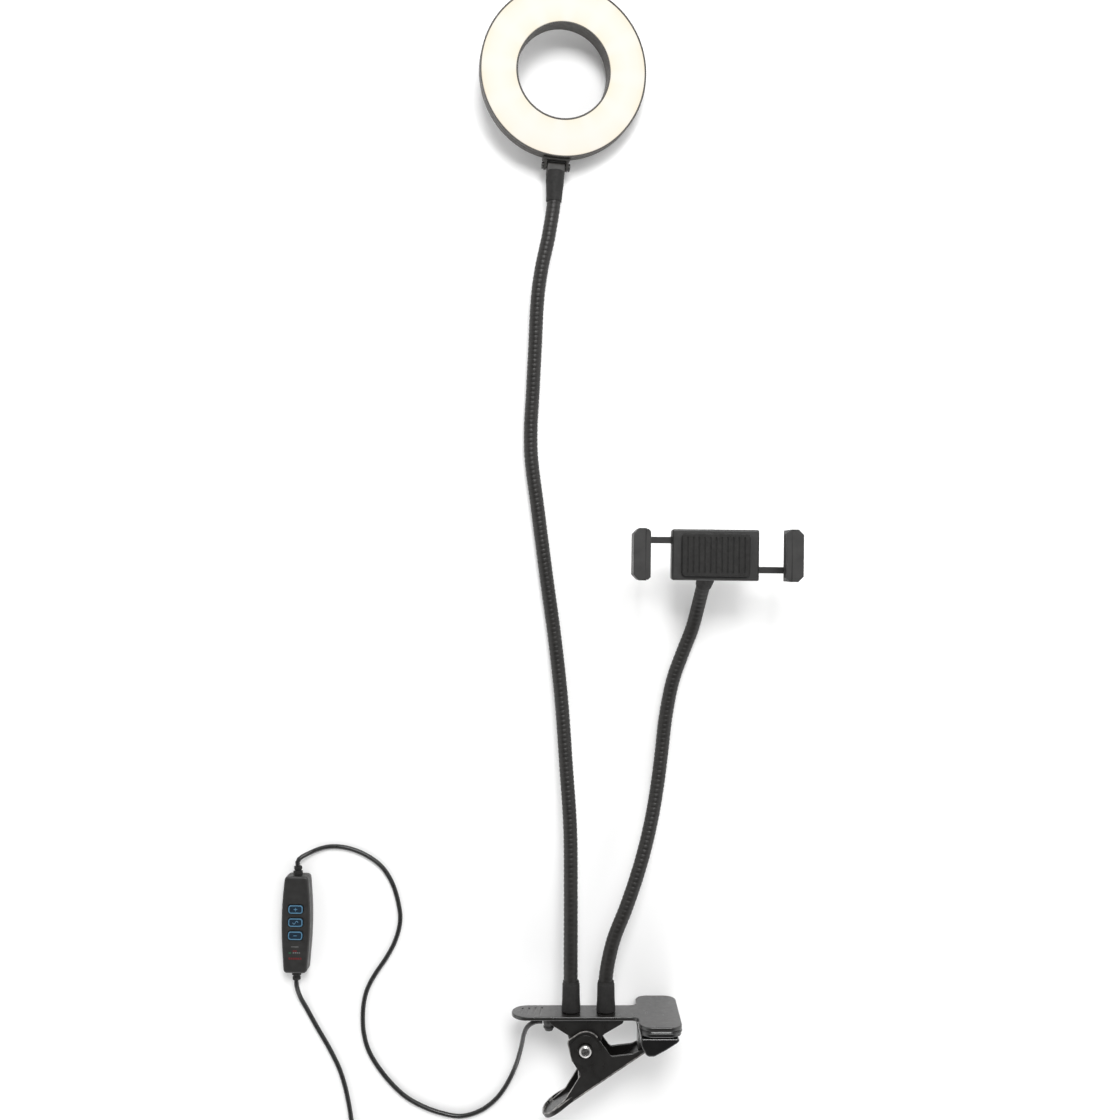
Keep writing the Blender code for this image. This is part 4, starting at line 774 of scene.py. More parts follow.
def make_button(index, name):
    """One key: a dark blue cap with a pale outline and its sign."""
    y = KEY_Y - KEY_PITCH * index
    body = f"button_{name}"
    top = SWITCH_HIGH + 0.45
    cap = extruded(f"key_{name}", centred(0, y, 4.05, 2.4, 1.6), 5.2, top, SWITCH, edge=0.35)
    finish(cap, BLUE, body, body)
    rim = extruded(f"key_edge_{name}", centred(0, y, 3.95, 2.3, 1.5), top - 0.3, top + 0.07, SWITCH)
    rim = cut(rim, extruded("inner", centred(0, y, 3.4, 1.75, 1.0), top - 1, top + 1, SWITCH))
    finish(rim, PALE_BLUE, body)
    if name == "mode":
        # Two facing hooks that form a wave.
        wave = []
        for step in range(25):
            share = step / 24
            rise = 0.85 * math.sin(math.radians(300 * share - 150) * 1.2)
            wave.append(SWITCH @ (Vector((3.0 * share - 1.5, y + rise, top)) * MM))
        sign = baked(wire("sign_mode", wave, STROKE, 2), weld=WELD)
    else:
        strokes = [centred(0, y, 1.0, STROKE, 0.05)]
        if name == "brighter":
            strokes.append(centred(0, y, STROKE, 1.0, 0.05))
        bars = [extruded("bar", stroke, top - 0.3, top + 0.06, SWITCH) for stroke in strokes]
        sign = united(f"sign_{name}", bars)
    finish(sign, PALE_BLUE, body)


def make_plug():
    """A ribbed overmould with a tapered neck, and a hollow shell with latch windows and its contacts."""
    pose = Matrix.Translation(at(*PLUG))
    grip_end, shell_end = 21.0, 39.5
    grip = box("plug_grip", (0, -7.9, -4.1), (grip_end, 7.9, 4.1), pose, edge=1.6, segments=4)
    ribs = []
    for index in range(5):
        x = 4.5 + 2.1 * index
        for y in (-8.3, 8.3):
            ribs.append(box("rib", (x - 0.35, y - 0.8, -3), (x + 0.35, y + 0.8, 3), pose))
    grip = cut(grip, *ribs)
    back = pose @ pose_of(Vector(), Y_AXIS, (-1, 0, 0))
    corners = [(0, PLUG_NECK, 0)]
    for step in range(5):
        height = PLUG_NECK - 1.7 * step
        wide = 1.95 + 0.33 * step
        corners += [(wide, height, 0.15), (wide + 0.15, height - 1.1, 0.15)]
        corners += [(wide - 0.35, height - 1.2, 0), (wide - 0.3, height - 1.6, 0)]
    corners += [(3.4, -1, 0), (0, -1, 0)]
    neck = turned("neck", corners, back, 40)
    finish(join(grip, neck), PLASTIC, "clip", "plug_overmould")
    start, wide, high, sheet = grip_end + 0.3, 6.0, 2.25, 0.35
    shell = box("plug_contact_shell", (start, -wide, -high), (shell_end, wide, high), pose, edge=0.45)
    wide, high = wide - sheet, high - sheet
    openings = [box("mouth", (start + 1, -wide, -high), (shell_end + 2, wide, high), pose)]
    for y in (-3.0, 3.0):
        for z in (-2.4, 2.4):
            corner, other = (start + 6.5, y - 1.1, z - 0.6), (start + 8.9, y + 1.1, z + 0.6)
            openings.append(box("latch", corner, other, pose))
    finish(cut(shell, *openings), STEEL, "clip", "plug_shell")
    tongue = box("plug_tongue", (start + 1, -5.5, -1.7), (shell_end - 1.2, 5.5, 0.1), pose, edge=0.15)
    finish(tongue, TONGUE, "clip")
    strips = []
    for y in (-3.5, -1.0, 1.0, 3.5):
        strips.append(box("contact", (start + 8, y - 0.5, 0.05), (shell_end - 1.8, y + 0.5, 0.2), pose))
    finish(united("plug_contacts", strips), CONTACT, "clip", sharp=None)


def make_tie():
    """A twist tie round the coil's turns."""
    angle = math.radians(60)
    out = Vector((math.cos(angle), math.sin(angle), 0))
    middle = COIL_TURN - 1.5 * TURN_PITCH
    slack, thick = 0.35, 0.4
    across, high = 1.5 * TURN_PITCH + CORD_RADIUS + slack, TURN_PITCH / 2 + CORD_RADIUS + slack
    centre = at(*COIL_CENTRE, CORD_FLOOR + TURN_PITCH / 2) + out * middle * MM
    loop = centred(0, 0, across, high, 1.6)
    hole = centred(0, 0, across - thick, high - thick, 1.2)
    pose = pose_of(centre, out, out.cross(Vector(Z_AXIS)))
    tie = extruded("coil_tie", loop, -1.2, 1.2, pose, edge=0.12)
    tie = cut(tie, extruded("tie_hole", hole, -3, 3, pose))
    low = min((tie.matrix_world @ vertex.co).z for vertex in tie.data.vertices)
    tie.location.z -= min(0.0, low)
    finish(tie, RUBBER, "clip")
    return tie


def make_leads():
    """The two stretches of lead, on either side of the switch, with the pieces that each one carries."""
    make_switch()
    make_plug()
    tie = make_tie()
    first, second = spaced(lead_to_switch(), 2.0 * MM), spaced(lead_to_plug(), 1.6 * MM)
    cord = wire("cord_clip_to_switch", first, CORD_RADIUS)
    finish(cord, SHEATH, "clip", "lead_to_switch", sharp=None)
    cord = wire("cord_switch_to_plug", second, CORD_RADIUS)
    finish(cord, SHEATH, "clip", "lead_to_plug", "lead_coil", sharp=None)


make_leads()
repaint("switch_board", BOARD)

# ---- ring head

TILT_PLACE = joint_place("ring_tilt")
TILT_AXIS = Vector(JOINTS["ring_tilt"]["axis"]).normalized()
HINGE_REACH, HINGE_DEPTH = 50.0, 7.0
RING_SIDES = 160
EYE = 1.4


def ring_pose():
    """The ring's own pose, from its hinge and the middle of its diffuser: Z out of the lit face."""
    low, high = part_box("ring_diffuser")
    cover_depth = 1.075
    to_cover = ((low + high) / 2 - TILT_PLACE).normalized()
    rise = math.atan2(HINGE_DEPTH - cover_depth, HINGE_REACH)
    forward = Matrix.Rotation(-rise, 3, TILT_AXIS) @ to_cover
    turn = Matrix((TILT_AXIS, forward, TILT_AXIS.cross(forward))).transposed().to_4x4()
    start = TILT_PLACE - turn.to_3x3() @ (Vector((0, -HINGE_REACH, -HINGE_DEPTH)) * MM)
    return Matrix.Translation(start) @ turn


RING = ring_pose()


def make_ring():
    """The ring's open shell, the milky cover in it and the bracket below."""
    outer_lip, inner_lip = RING_RADIUS - RIM_THICK, HOLE_RADIUS + RIM_THICK
    depth, seam, groove = 13.5, -3.4, 0.3
    cover_room, board_room, room_end = -2.2, -9.5, -11.9
    corners = [
        (RING_RADIUS, -0.001, 0.22), (RING_RADIUS, seam, 0), (RING_RADIUS - groove, seam - 0.12, 0),
        (RING_RADIUS - groove, seam - 0.42, 0), (RING_RADIUS, seam - 0.54, 0), (RING_RADIUS, -depth, 4.5),
        (HOLE_RADIUS, -depth, 1.8), (HOLE_RADIUS, 0, 0.22), (inner_lip, 0, 0.15),
        (inner_lip, cover_room, 0), (inner_lip + 0.7, cover_room, 0), (inner_lip + 0.7, board_room, 0),
        (inner_lip + 2.1, board_room, 0), (inner_lip + 2.1, room_end, 0), (outer_lip - 2.3, room_end, 0),
        (outer_lip - 2.3, board_room, 0), (outer_lip - 0.8, board_room, 0), (outer_lip - 0.8, cover_room, 0),
        (outer_lip, cover_room, 0), (outer_lip, 0, 0.15),
    ]
    housing = turned("ring_shell", corners, RING, RING_SIDES, ring=True, arcs=6)
    finish(housing, HOUSING, "ring_head", "ring_housing")
    gap = 0.2
    outer, inner = outer_lip - gap, inner_lip + gap
    middle = (outer + inner) / 2
    corners = [
        (outer, -0.30, 0.2), (outer, -1.9, 0), (inner, -1.9, 0), (inner, -0.30, 0.2),
        (middle - 5, -0.22, 0), (middle, -0.20, 0), (middle + 5, -0.22, 0),
    ]
    cover = turned("diffuser_cover", corners, RING, RING_SIDES, ring=True)
    diffuser = kept("diffuser_white", make_diffuser(inner * MM, outer * MM))
    finish(cover, diffuser, "ring_head", "ring_diffuser")
    repaint("led_board", BOARD)
    make_bracket()


def make_bracket():
    """The block under the ring, with an ear on each side of the neck, and the screw through them."""
    half_depth, ear, wide = 4.5, 2.2, 7.6
    block = box("tilt_bracket", (-wide, -HINGE_REACH + 2.7, -HINGE_DEPTH - half_depth),
                (wide, -43.5, -HINGE_DEPTH + half_depth), RING, edge=1.0, segments=4)
    hinge = RING @ Matrix.Translation(Vector((0, -HINGE_REACH, -HINGE_DEPTH)) * MM)
    side = hinge @ Matrix.Rotation(math.pi / 2, 4, "Y")
    half_foot, foot = half_depth - 0.6, 3.4
    fillet = ear * 0.98
    outline = rounded([(-half_foot, foot, 0), (-ear, -ear, fillet), (ear, -ear, fillet), (half_foot, foot, 0)])
    ears = [extruded(f"ear_{low}", outline, low, low + 1.3, side, edge=0.3) for low in (5.4, -6.7)]
    bracket = join(block, *ears)
    clearance = rod("ring_clearance", RING_RADIUS + 0.3, -20, 5, RING, sides=RING_SIDES)
    bracket = cut(bracket, clearance, rod("tilt_hole", EYE, -9, 9, side, sides=32))
    finish(bracket, BRACKET_PLASTIC, "ring_head", "neck_bracket", slot="grey_plastic")
    corners = [
        (0, 8.0, 0), (1.0, 7.9, 0.3), (1.1, 6.9, 0), (1.1, -7.0, 0), (1.9, -7.0, 0.2), (1.9, -7.9, 0.5),
        (0, -8.05, 0),
    ]
    pin = turned("tilt_screw", corners, side, 40)
    slot = box("tilt_slot", (-0.25, -2.5, -8.5), (0.25, 2.5, -7.6), side)
    finish(cut(pin, slot), DARK_STEEL, "ring_head", "tilt_pin")
    corners = [(2.1, 8.0, 0.4), (2.1, 7.0, 0.1), (1.4, 7.0, 0), (1.4, 8.0, 0)]
    nut = turned("tilt_cap_nut", corners, side, 40, ring=True)
    finish(nut, DARK_STEEL, "ring_head", "tilt_nut")


make_ring()

# ---- goosenecks

NECK_RADIUS = 3.86
NECK_FLOOR = 3.87
RIDGE_PITCH = 2.6
RIDGE_HEIGHT = 0.17
RIDGE_SHAPE = (0.0, 0.80, 1.0, 1.0, 0.97, 0.75)
NECK_SIDES = 24
ALMOST = 0.000001
NECK_UP = Matrix.Rotation(math.radians(-7.5), 3, TILT_AXIS) @ (RING.to_3x3() @ Vector(Y_AXIS))
BALL_CENTRE = joint_place("holder_tilt")
STUD_WAY = Vector((0.149, 0.728, 0.669)).normalized()
PLATE_TOP, CLIP_Z = -251.7, 23.75
LAMP_X, PHONE_X = -35.2, -16.2


def lamp_route():
    """The long gooseneck's middle line: down from the clip, along the floor and up to the ring's hinge."""
    route = [
        (LAMP_X, PLATE_TOP + 1.8, CLIP_Z), (LAMP_X, PLATE_TOP + 11, CLIP_Z), (-35.4, -230.7, 23.6),
        (-35.3, -188.0, 19.8), (-35.6, -154.0, 15.0), (-37.9, -119.4, 9.8), (-40.4, -84.4, 5.6),
        (-44.3, -48.7, NECK_FLOOR), (-49.2, -12.7, NECK_FLOOR), (-53.8, 23.2, NECK_FLOOR),
        (-57.2, 50.1, NECK_FLOOR), (-57.6, 68.0, 4.0), (-56.6, 86.0, 4.5), (-55.2, 112.6, 5.9),
        (-53.8, 139.0, 7.8), (-51.4, 156.6, 9.1), (-47.6, 174.0, 10.0),
    ]
    ends = [TILT_PLACE - NECK_UP * below * MM for below in (21.0, 7.7)]
    return smooth([at(*point) for point in route] + ends)


def phone_route():
    """The short gooseneck's middle line, from the clip to the ball behind the holder."""
    route = [
        (PHONE_X, PLATE_TOP + 1.8, CLIP_Z), (PHONE_X, PLATE_TOP + 11, CLIP_Z), (-15.9, -230.6, 23.4),
        (-12.0, -213.5, 22.3), (-5.1, -196.6, 20.4), (1.1, -179.8, 17.6), (6.3, -163.0, 14.2),
        (10.4, -146.0, 10.8), (13.5, -128.8, 7.8), (15.9, -111.3, 5.5), (18.1, -93.6, 4.3),
        (22.0, -74.0, NECK_FLOOR), (27.8, -57.5, 3.9), (32.8, -44.5, 4.6), (35.9, -31.5, 7.9),
    ]
    ends = [BALL_CENTRE - STUD_WAY * below * MM for below in (19.5, 10.8)]
    return smooth([at(*point) for point in route] + ends)


class Line:
    """A curve with a frame that doesn't twist, read by distance along it."""

    def __init__(self, curve):
        self.points = spaced(curve, 0.5 * MM)
        self.length = length_of(self.points)
        self.step = self.length / (len(self.points) - 1)
        self.frames = []
        side = Vector(Z_AXIS)
        for index, point in enumerate(self.points):
            before = self.points[max(0, index - 1)]
            after = self.points[min(len(self.points) - 1, index + 1)]
            ahead = (after - before).normalized()
            side = (side - ahead * side.dot(ahead)).normalized()
            self.frames.append((ahead, side, ahead.cross(side)))

    def at(self, distance):
        """The point and the two cross directions at a distance."""
        spot = min(max(distance / self.step, 0.0), len(self.points) - 1 - ALMOST)
        index = int(spot)
        share = spot - index
        point = self.points[index].lerp(self.points[index + 1], share)
        across = self.frames[index][1].lerp(self.frames[index + 1][1], share)
        other = self.frames[index][2].lerp(self.frames[index + 1][2], share)
        return point, across, other


def ridge(row):
    """The ridge's height, 0 to 1, at a row counted along the hose from the helix's start."""
    share = row % len(RIDGE_SHAPE)
    index = int(share)
    after = RIDGE_SHAPE[(index + 1) % len(RIDGE_SHAPE)]
    return RIDGE_SHAPE[index] + (after - RIDGE_SHAPE[index]) * (share - index)


def hose(name, line, start, end):
    """A stretch of ridged hose: its rows of points follow one helix, so that every ridge is whole."""
    rows_a_ridge = len(RIDGE_SHAPE)
    step = RIDGE_PITCH * MM / rows_a_ridge
    first = math.floor(start / step) - rows_a_ridge
    rows = math.ceil(end / step) - first + 1
    bm = bmesh.new()
    grid = []
    for row in range(rows + 1):
        circle = []
        for column in range(NECK_SIDES):
            distance = (first + row + rows_a_ridge * column / NECK_SIDES) * step
            distance = min(max(distance, start), end)
            height = ridge(distance / step - rows_a_ridge * column / NECK_SIDES)
            point, across, other = line.at(distance)
            angle = 2 * math.pi * column / NECK_SIDES
            radius = (NECK_RADIUS - RIDGE_HEIGHT * (1 - height)) * MM
            out = across * math.cos(angle) + other * math.sin(angle)
            circle.append(bm.verts.new(point + out * radius))
        grid.append(circle)
    for row in range(rows):
        for column in range(NECK_SIDES):
            after, shift = ((column + 1, 0) if column + 1 < NECK_SIDES else (0, rows_a_ridge))
            if row + 1 + shift > rows:
                continue
            here, there = grid[row], grid[row + shift]
            bm.faces.new((here[column], there[after], grid[row + 1 + shift][after], grid[row + 1][column]))
    bmesh.ops.remove_doubles(bm, verts=bm.verts, dist=WELD / 2 * MM)
    bmesh.ops.dissolve_degenerate(bm, edges=bm.edges, dist=WELD / 2 * MM)
    bmesh.ops.holes_fill(bm, edges=bm.edges, sides=NECK_SIDES * 2)
    bmesh.ops.recalc_face_normals(bm, faces=bm.faces)
    obj = add(name, mesh_from(name, bm))
    obj.data.shade_smooth()
    obj.data.set_sharp_from_angle(angle=math.radians(50))
    return obj


def make_neck_hose(prefix, curve, marks):
    """One gooseneck as stretches that each reach across one hinge of the CAD chain."""
    line = Line(curve)
    joints = [line.length * mark for mark in marks]
    ends = [0.0, *((a + b) / 2 for a, b in zip(joints, joints[1:])), line.length]
    for index, middle in enumerate(joints):
        after = f"{prefix}_{index + 2}"
        obj = hose(f"{prefix.replace('arm', 'hose')}_{index + 1}", line, ends[index], ends[index + 1])
        stood_for = [after] if index else [f"{prefix}_1", after]
        finish(obj, NECK, None, *stood_for, sharp=None)
        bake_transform(obj)


make_neck_hose("lamp_arm", lamp_route(), [n / 6 for n in range(1, 6)])
make_neck_hose("phone_arm", phone_route(), (0.28, 0.53, 0.76))


def make_boots():
    """The rubber boots of the goosenecks, their studs and nuts at the plate, and the ring's knuckle."""
    bore = NECK_RADIUS + 0.1
    for prefix, x in (("lamp", LAMP_X), ("phone", PHONE_X)):
        up = pose_of(at(x, PLATE_TOP, CLIP_Z), X_AXIS, Y_AXIS)
        corners = [
            (bore, 16.6, 0.1), (4.35, 16.6, 0.25), (4.45, 15.2, 0.1), (4.68, 15.0, 0.2), (4.75, 11.0, 0),
            (4.85, 6.0, 0), (5.1, 3.0, 1.5), (5.15, 0.3, 0.3), (bore, 0.3, 0),
        ]
        boot = turned(f"{prefix}_boot", corners, up, 64, ring=True)
        finish(boot, RUBBER, "clip", f"{prefix}_base_boot")
        corners = [(0, 1.5), (3.4, 1.5), (3.4, 0.3), (1.9, 0.3), (1.9, -6.2), (1.6, -6.5), (0, -6.5)]
        stud = turned(f"{prefix}_threaded_stud", corners, up, 40)
        grooves = []
        for z in (-5.9, -5.2):
            grooves.append(turned("thread", [(3, z + 0.3), (3, z - 0.3), (1.68, z)], up, 40, ring=True))
        finish(cut(stud, *grooves), STEEL, "clip", f"{prefix}_stud")
        make_nut(f"{prefix}_hex_nut", up, 3.9, -5.4, -2.4, 2.2, "clip", f"{prefix}_nut")
    up = pose_of(TILT_PLACE, TILT_AXIS, NECK_UP)
    half, shoulder, foot, radius = 2.4, -2.8, -7.2, 4.65
    corners = [(0, shoulder, 0), (radius, shoulder, 0.4), (radius, foot, 0.3), (0, foot, 0)]
    knuckle = turned("knuckle", corners, up, 64)
    side = up @ Matrix.Rotation(math.pi / 2, 4, "Y")
    fillet = half * 0.98
    outline = rounded([(-half, -half, fillet), (5, -half, 0), (5, half, 0), (-half, half, fillet)])
    knuckle = join(knuckle, extruded("tongue", outline, -5.0, 5.0, side, edge=0.4))
    knuckle = cut(knuckle, rod("eye", EYE, -9, 9, side, sides=32))
    finish(knuckle, BRACKET_PLASTIC, "lamp_arm_6", "tilt_knuckle")
    corners = [
        (bore, -7.5, 0), (4.75, -7.5, 0), (4.75, -3.0, 0.1), (5.15, -3.0, 0.3), (5.0, -9.0, 1.5),
        (4.45, -16.2, 1.5), (4.3, -20, 0.35), (bore, -20, 0.1),
    ]
    boot = turned("lamp_top_sleeve", corners, up, 64, ring=True)
    finish(boot, RUBBER, "lamp_arm_6", "lamp_top_boot")


def make_nut(name, pose, radius, low, high, bore, body, node):
    """A hexagon nut with chamfered corners."""
    nut = rod(name, radius, low, high, pose, sides=6)
    face = radius - 0.55
    corners = [(0, high), (face, high), (radius, high - 0.4), (radius, low + 0.4), (face, low), (0, low)]
    nut = combine(nut, [turned("chamfer", corners, pose, 48)], "INTERSECT")
    nut = cut(nut, rod("bore", bore, low - 2, high + 2, pose, sides=32))
    return finish(nut, STEEL, body, node, sharp=math.radians(25))


make_boots()

# ---- clip

PLATE_THICK = 2.1
PLATE_BOTTOM = PLATE_TOP - PLATE_THICK
PLATE_LEFT, PLATE_WIDTH = -67.5, 18.0
HEAD_LEFT, HEAD_RIGHT, HEAD_WIDTH = 0.9, 23.5, 47.5
PAD_THICK = 3.2
PIVOT_X, PIVOT_Y = -27.6, -270.0
PIVOT_HOLE = 2.3
BLADE_Y, BLADE_HALF, BLADE_END, BLADE_REACH = PLATE_BOTTOM - 8.0, 0.75, 16.0, 19.0
FLANGE_MIDDLE, FLANGE_THICK = 5.2, 1.6
LEVER_MIDDLE, LEVER_THICK, LEVER_WEB = 7.1, 1.4, -19.15
LEVER_LOW, LEVER_HIGH = LEVER_MIDDLE - LEVER_THICK / 2, LEVER_MIDDLE + LEVER_THICK / 2
LEVER_ANGLE = math.radians(34.0)
EAR_RISE = 0.8
GLAND_X = -47.3
LAYOUT = Matrix.Translation(ORIGIN)


def make_plate():
    """The fixed jaw: a finger plate with a hammer head and two flanges that hold the pivot pin."""
    flat = pose_of(at(0, PLATE_TOP, 0), X_AXIS, (0, -1, 0))
    near, far = CLIP_Z - PLATE_WIDTH / 2, CLIP_Z + PLATE_WIDTH / 2
    finger, corner = PLATE_WIDTH / 2 * 0.98, 6.5
    outline = rounded([
        (PLATE_LEFT, near, finger), (HEAD_LEFT, near, 3.5), (HEAD_LEFT, 0, corner), (HEAD_RIGHT, 0, corner),
        (HEAD_RIGHT, HEAD_WIDTH, corner), (HEAD_LEFT, HEAD_WIDTH, corner), (HEAD_LEFT, far, 3.5),
        (PLATE_LEFT, far, finger),
    ], 12)
    plate = extruded("finger_plate", outline, 0, PLATE_THICK, flat, edge=0.55, steps=3)
    into = PLATE_BOTTOM + 0.8
    x, y = PIVOT_X, PIVOT_Y
    shape = rounded([
        (-48.5, into, 0), (-46.0, -257.0, 3), (x - 8.0, y + 6.5, 3), (x - 5.5, y - 6.2, 5),
        (x + 5.5, y - 6.2, 5), (x + 9.5, y + 7.5, 4), (-7.2, -256.2, 2), (-6.4, into, 0),
    ])
    flanges = []
    for side in (1, -1):
        middle = CLIP_Z + side * FLANGE_MIDDLE
        low, high = middle - FLANGE_THICK / 2, middle + FLANGE_THICK / 2
        flanges.append(extruded(f"flange_{side}", shape, low, high, LAYOUT, edge=0.3))
    plate = join(plate, *flanges)
    cutters = [rod("pivot_hole", PIVOT_HOLE, -9, 9, Matrix.Translation(PIVOT), sides=40)]
    for hole_x in (LAMP_X, PHONE_X):
        down = pose_of(at(hole_x, PLATE_TOP, CLIP_Z), X_AXIS, Y_AXIS)
        cutters.append(rod("stud_hole", 2.2, -4, 1, down, sides=32))
    for index in range(4):
        spot = at(PLATE_LEFT + 5.4 + 3.5 * index, PLATE_TOP + 0.58, CLIP_Z)
        lean = Matrix.Translation(spot) @ Matrix.Rotation(math.radians(-6), 4, "Y")
        half = 4.4 + 0.4 * index
        cutters.append(rod("groove", 0.85, -half, half, lean, sides=24))
    finish(cut(plate, *cutters), COAT, "clip", "clip_plate")


def make_pads():
    """The upper pad, and the bowl-shaped shoe that closes on it."""
    flat = pose_of(at(0, PLATE_BOTTOM - 0.1, 0), X_AXIS, (0, -1, 0))
    inset, corner = 0.3, 6.2
    outline = block_outline((HEAD_LEFT + inset, inset), (HEAD_RIGHT - inset, HEAD_WIDTH - inset), corner)
    pad = extruded("upper_pad", outline, 0, PAD_THICK + 0.2, flat, edge=0.8, steps=4)
    outline = block_outline((HEAD_LEFT - 0.1, -0.1), (HEAD_RIGHT + 0.1, HEAD_WIDTH + 0.1), corner + 0.4)
    lip = extruded("pad_lip", outline, 0.6, 1.5, flat, edge=0.4, steps=3)
    finish(join(pad, lip), GLOSS, "clip", "upper_jaw_pad")
    top = PLATE_BOTTOM - 0.3 - PAD_THICK - 0.4
    outline = rounded([
        (1.5, top, 1.0), (1.3, -261.5, 4), (4.6, -267.4, 3), (8.5, -267.3, 3), (14.8, -263.9, 8),
        (20.6, -260.2, 5), (22.8, top, 1.0),
    ], 8)
    shoe = extruded("jaw_shoe", outline, 0.5, HEAD_WIDTH - 0.5, LAYOUT, edge=0.9, steps=5)
    room = 0.45
    high, reach = BLADE_HALF + room, BLADE_REACH + room
    slot = box("shoe_slot", (0, BLADE_Y - high, CLIP_Z - reach),
               (BLADE_END + room, BLADE_Y + high, CLIP_Z + reach), LAYOUT)
    finish(cut(shoe, slot), GLOSS, "lever", "lower_jaw_shoe")


def make_lever():
    """The moving jaw: a folded channel with a raised round ear on each side and a finger tail."""
    pose = Matrix.Translation(PIVOT) @ Matrix.Rotation(LEVER_ANGLE, 4, "Z")
    low, high, web = LEVER_LOW, LEVER_HIGH, LEVER_WEB
    tail, jaw = -33.0, 29.0
    wall = rounded([
        (jaw, web, 0), (tail, web, 0), (tail, web + 2.0, 0), (-24.0, -16.1, 4), (-9.4, -9.6, 2.5),
        (-9.2, -1.5, 5), (-5.2, 9.5, 2.5), (9.0, 9.2, 7.5), (9.6, -10.5, 2), (20.6, -16.2, 4),
        (jaw, web + 1.9, 0),
    ], 10)
    lever = extruded("lever_channel", wall, low, high, pose, edge=0.3, steps=3)
    parts = [
        extruded("far_wall", wall, -high, -low, pose, edge=0.3, steps=3),
        box("spine", (tail, web, -high), (jaw, web + LEVER_THICK, high), pose, edge=0.35),
    ]
    flat = pose @ Matrix.Rotation(math.pi / 2, 4, "X")
    wide, end, waist, lip = 9.9, -39.3, -29.0, 1.2
    tongue = rounded([
        (end, -wide, 8), (waist, -wide, 4), (-20, -high, 0),
        (-20, high, 0), (waist, wide, 4), (end, wide, 8),
    ], 12)
    parts.append(extruded("finger_tongue", tongue, -web - LEVER_THICK, -web, flat, edge=0.4))
    rim = extruded("tail_rim", tongue, -web - 2.6, -web - 0.2, flat, edge=0.35)
    near, far = high - 1.0, wide - lip
    inside = rounded([
        (end + lip, -far, 6.8), (waist, -far, 4), (-15, -near, 0),
        (-15, near, 0), (waist, far, 4), (end + lip, far, 6.8),
    ], 12)
    parts.append(cut(rim, extruded("rim_room", inside, -web - 6, -web + 3, flat)))
    base, face = high - 0.3, high + EAR_RISE
    parts.append(rod("near_ear", 8.2, base, face, pose, 64, 8.1))
    parts.append(rod("far_ear", 8.1, -face, -base, pose, 64, 8.2))
    neck_half, left = 6.5, 1.0
    top = BLADE_Y + BLADE_HALF
    parts.append(box("jaw_neck", (left, -272.0, CLIP_Z - neck_half),
                     (2.5, top, CLIP_Z + neck_half), LAYOUT, edge=0.3))
    parts.append(box("jaw_blade", (left, BLADE_Y - BLADE_HALF, CLIP_Z - BLADE_REACH),
                     (BLADE_END, top, CLIP_Z + BLADE_REACH), LAYOUT, edge=0.3))
    lever = join(lever, *parts)
    hole = rod("lever_hole", PIVOT_HOLE, -12, 12, pose, sides=40)
    near_dish = rod("near_dish", 3.9, face - 0.5, face + 0.3, pose, 64, 4.7)
    far_dish = rod("far_dish", 4.7, -face - 0.3, -face + 0.5, pose, 64, 3.9)
    lever = cut(lever, hole, near_dish, far_dish)
    finish(lever, COAT, "lever", "clip_lever", sharp=math.radians(26), extra=(WORN_AND_HIGHLIGHT,))
    # The sheared edges of the tail and the upper rim of the ears get the worn coat, which also paints their
    # highlights on the side the light comes from.
    for polygon in lever.data.polygons:
        x, y, _ = polygon.center / MM
        sheared = abs(polygon.normal.z) < 0.96
        tail_worn_highlight = x < -10 and web + 2 < y < -9.7
        ear_rim_worn_highlight = y > -2 and 8.7 < math.hypot(x, y)
        if sheared and (tail_worn_highlight or ear_rim_worn_highlight):
            polygon.material_index = 1
    # The folded corners and the upper rounded rim of the ears, where the coat is thin: thin strips of the worn
    # coat that also paint the highlights along them.
    over_ear = [(x / MM, y / MM) for x, y in wall if y > -1.5 * MM and x < 9.4 * MM]
    fold = [(tail, web + 0.3), (jaw - 0.4, web + 0.3)]
    for z, name in ((base, "front"), (-base, "back")):
        for line, points, radius in (("lever_fold_worn_highlight", fold, 0.5), ("lever_rim_worn_highlight", over_ear, 0.38)):
            places = [pose @ (Vector((x, y, z)) * MM) for x, y in points]
            finish(wire_mesh(f"{line}_{name}", places, radius, 3), WORN_AND_HIGHLIGHT, "lever", sharp=None)


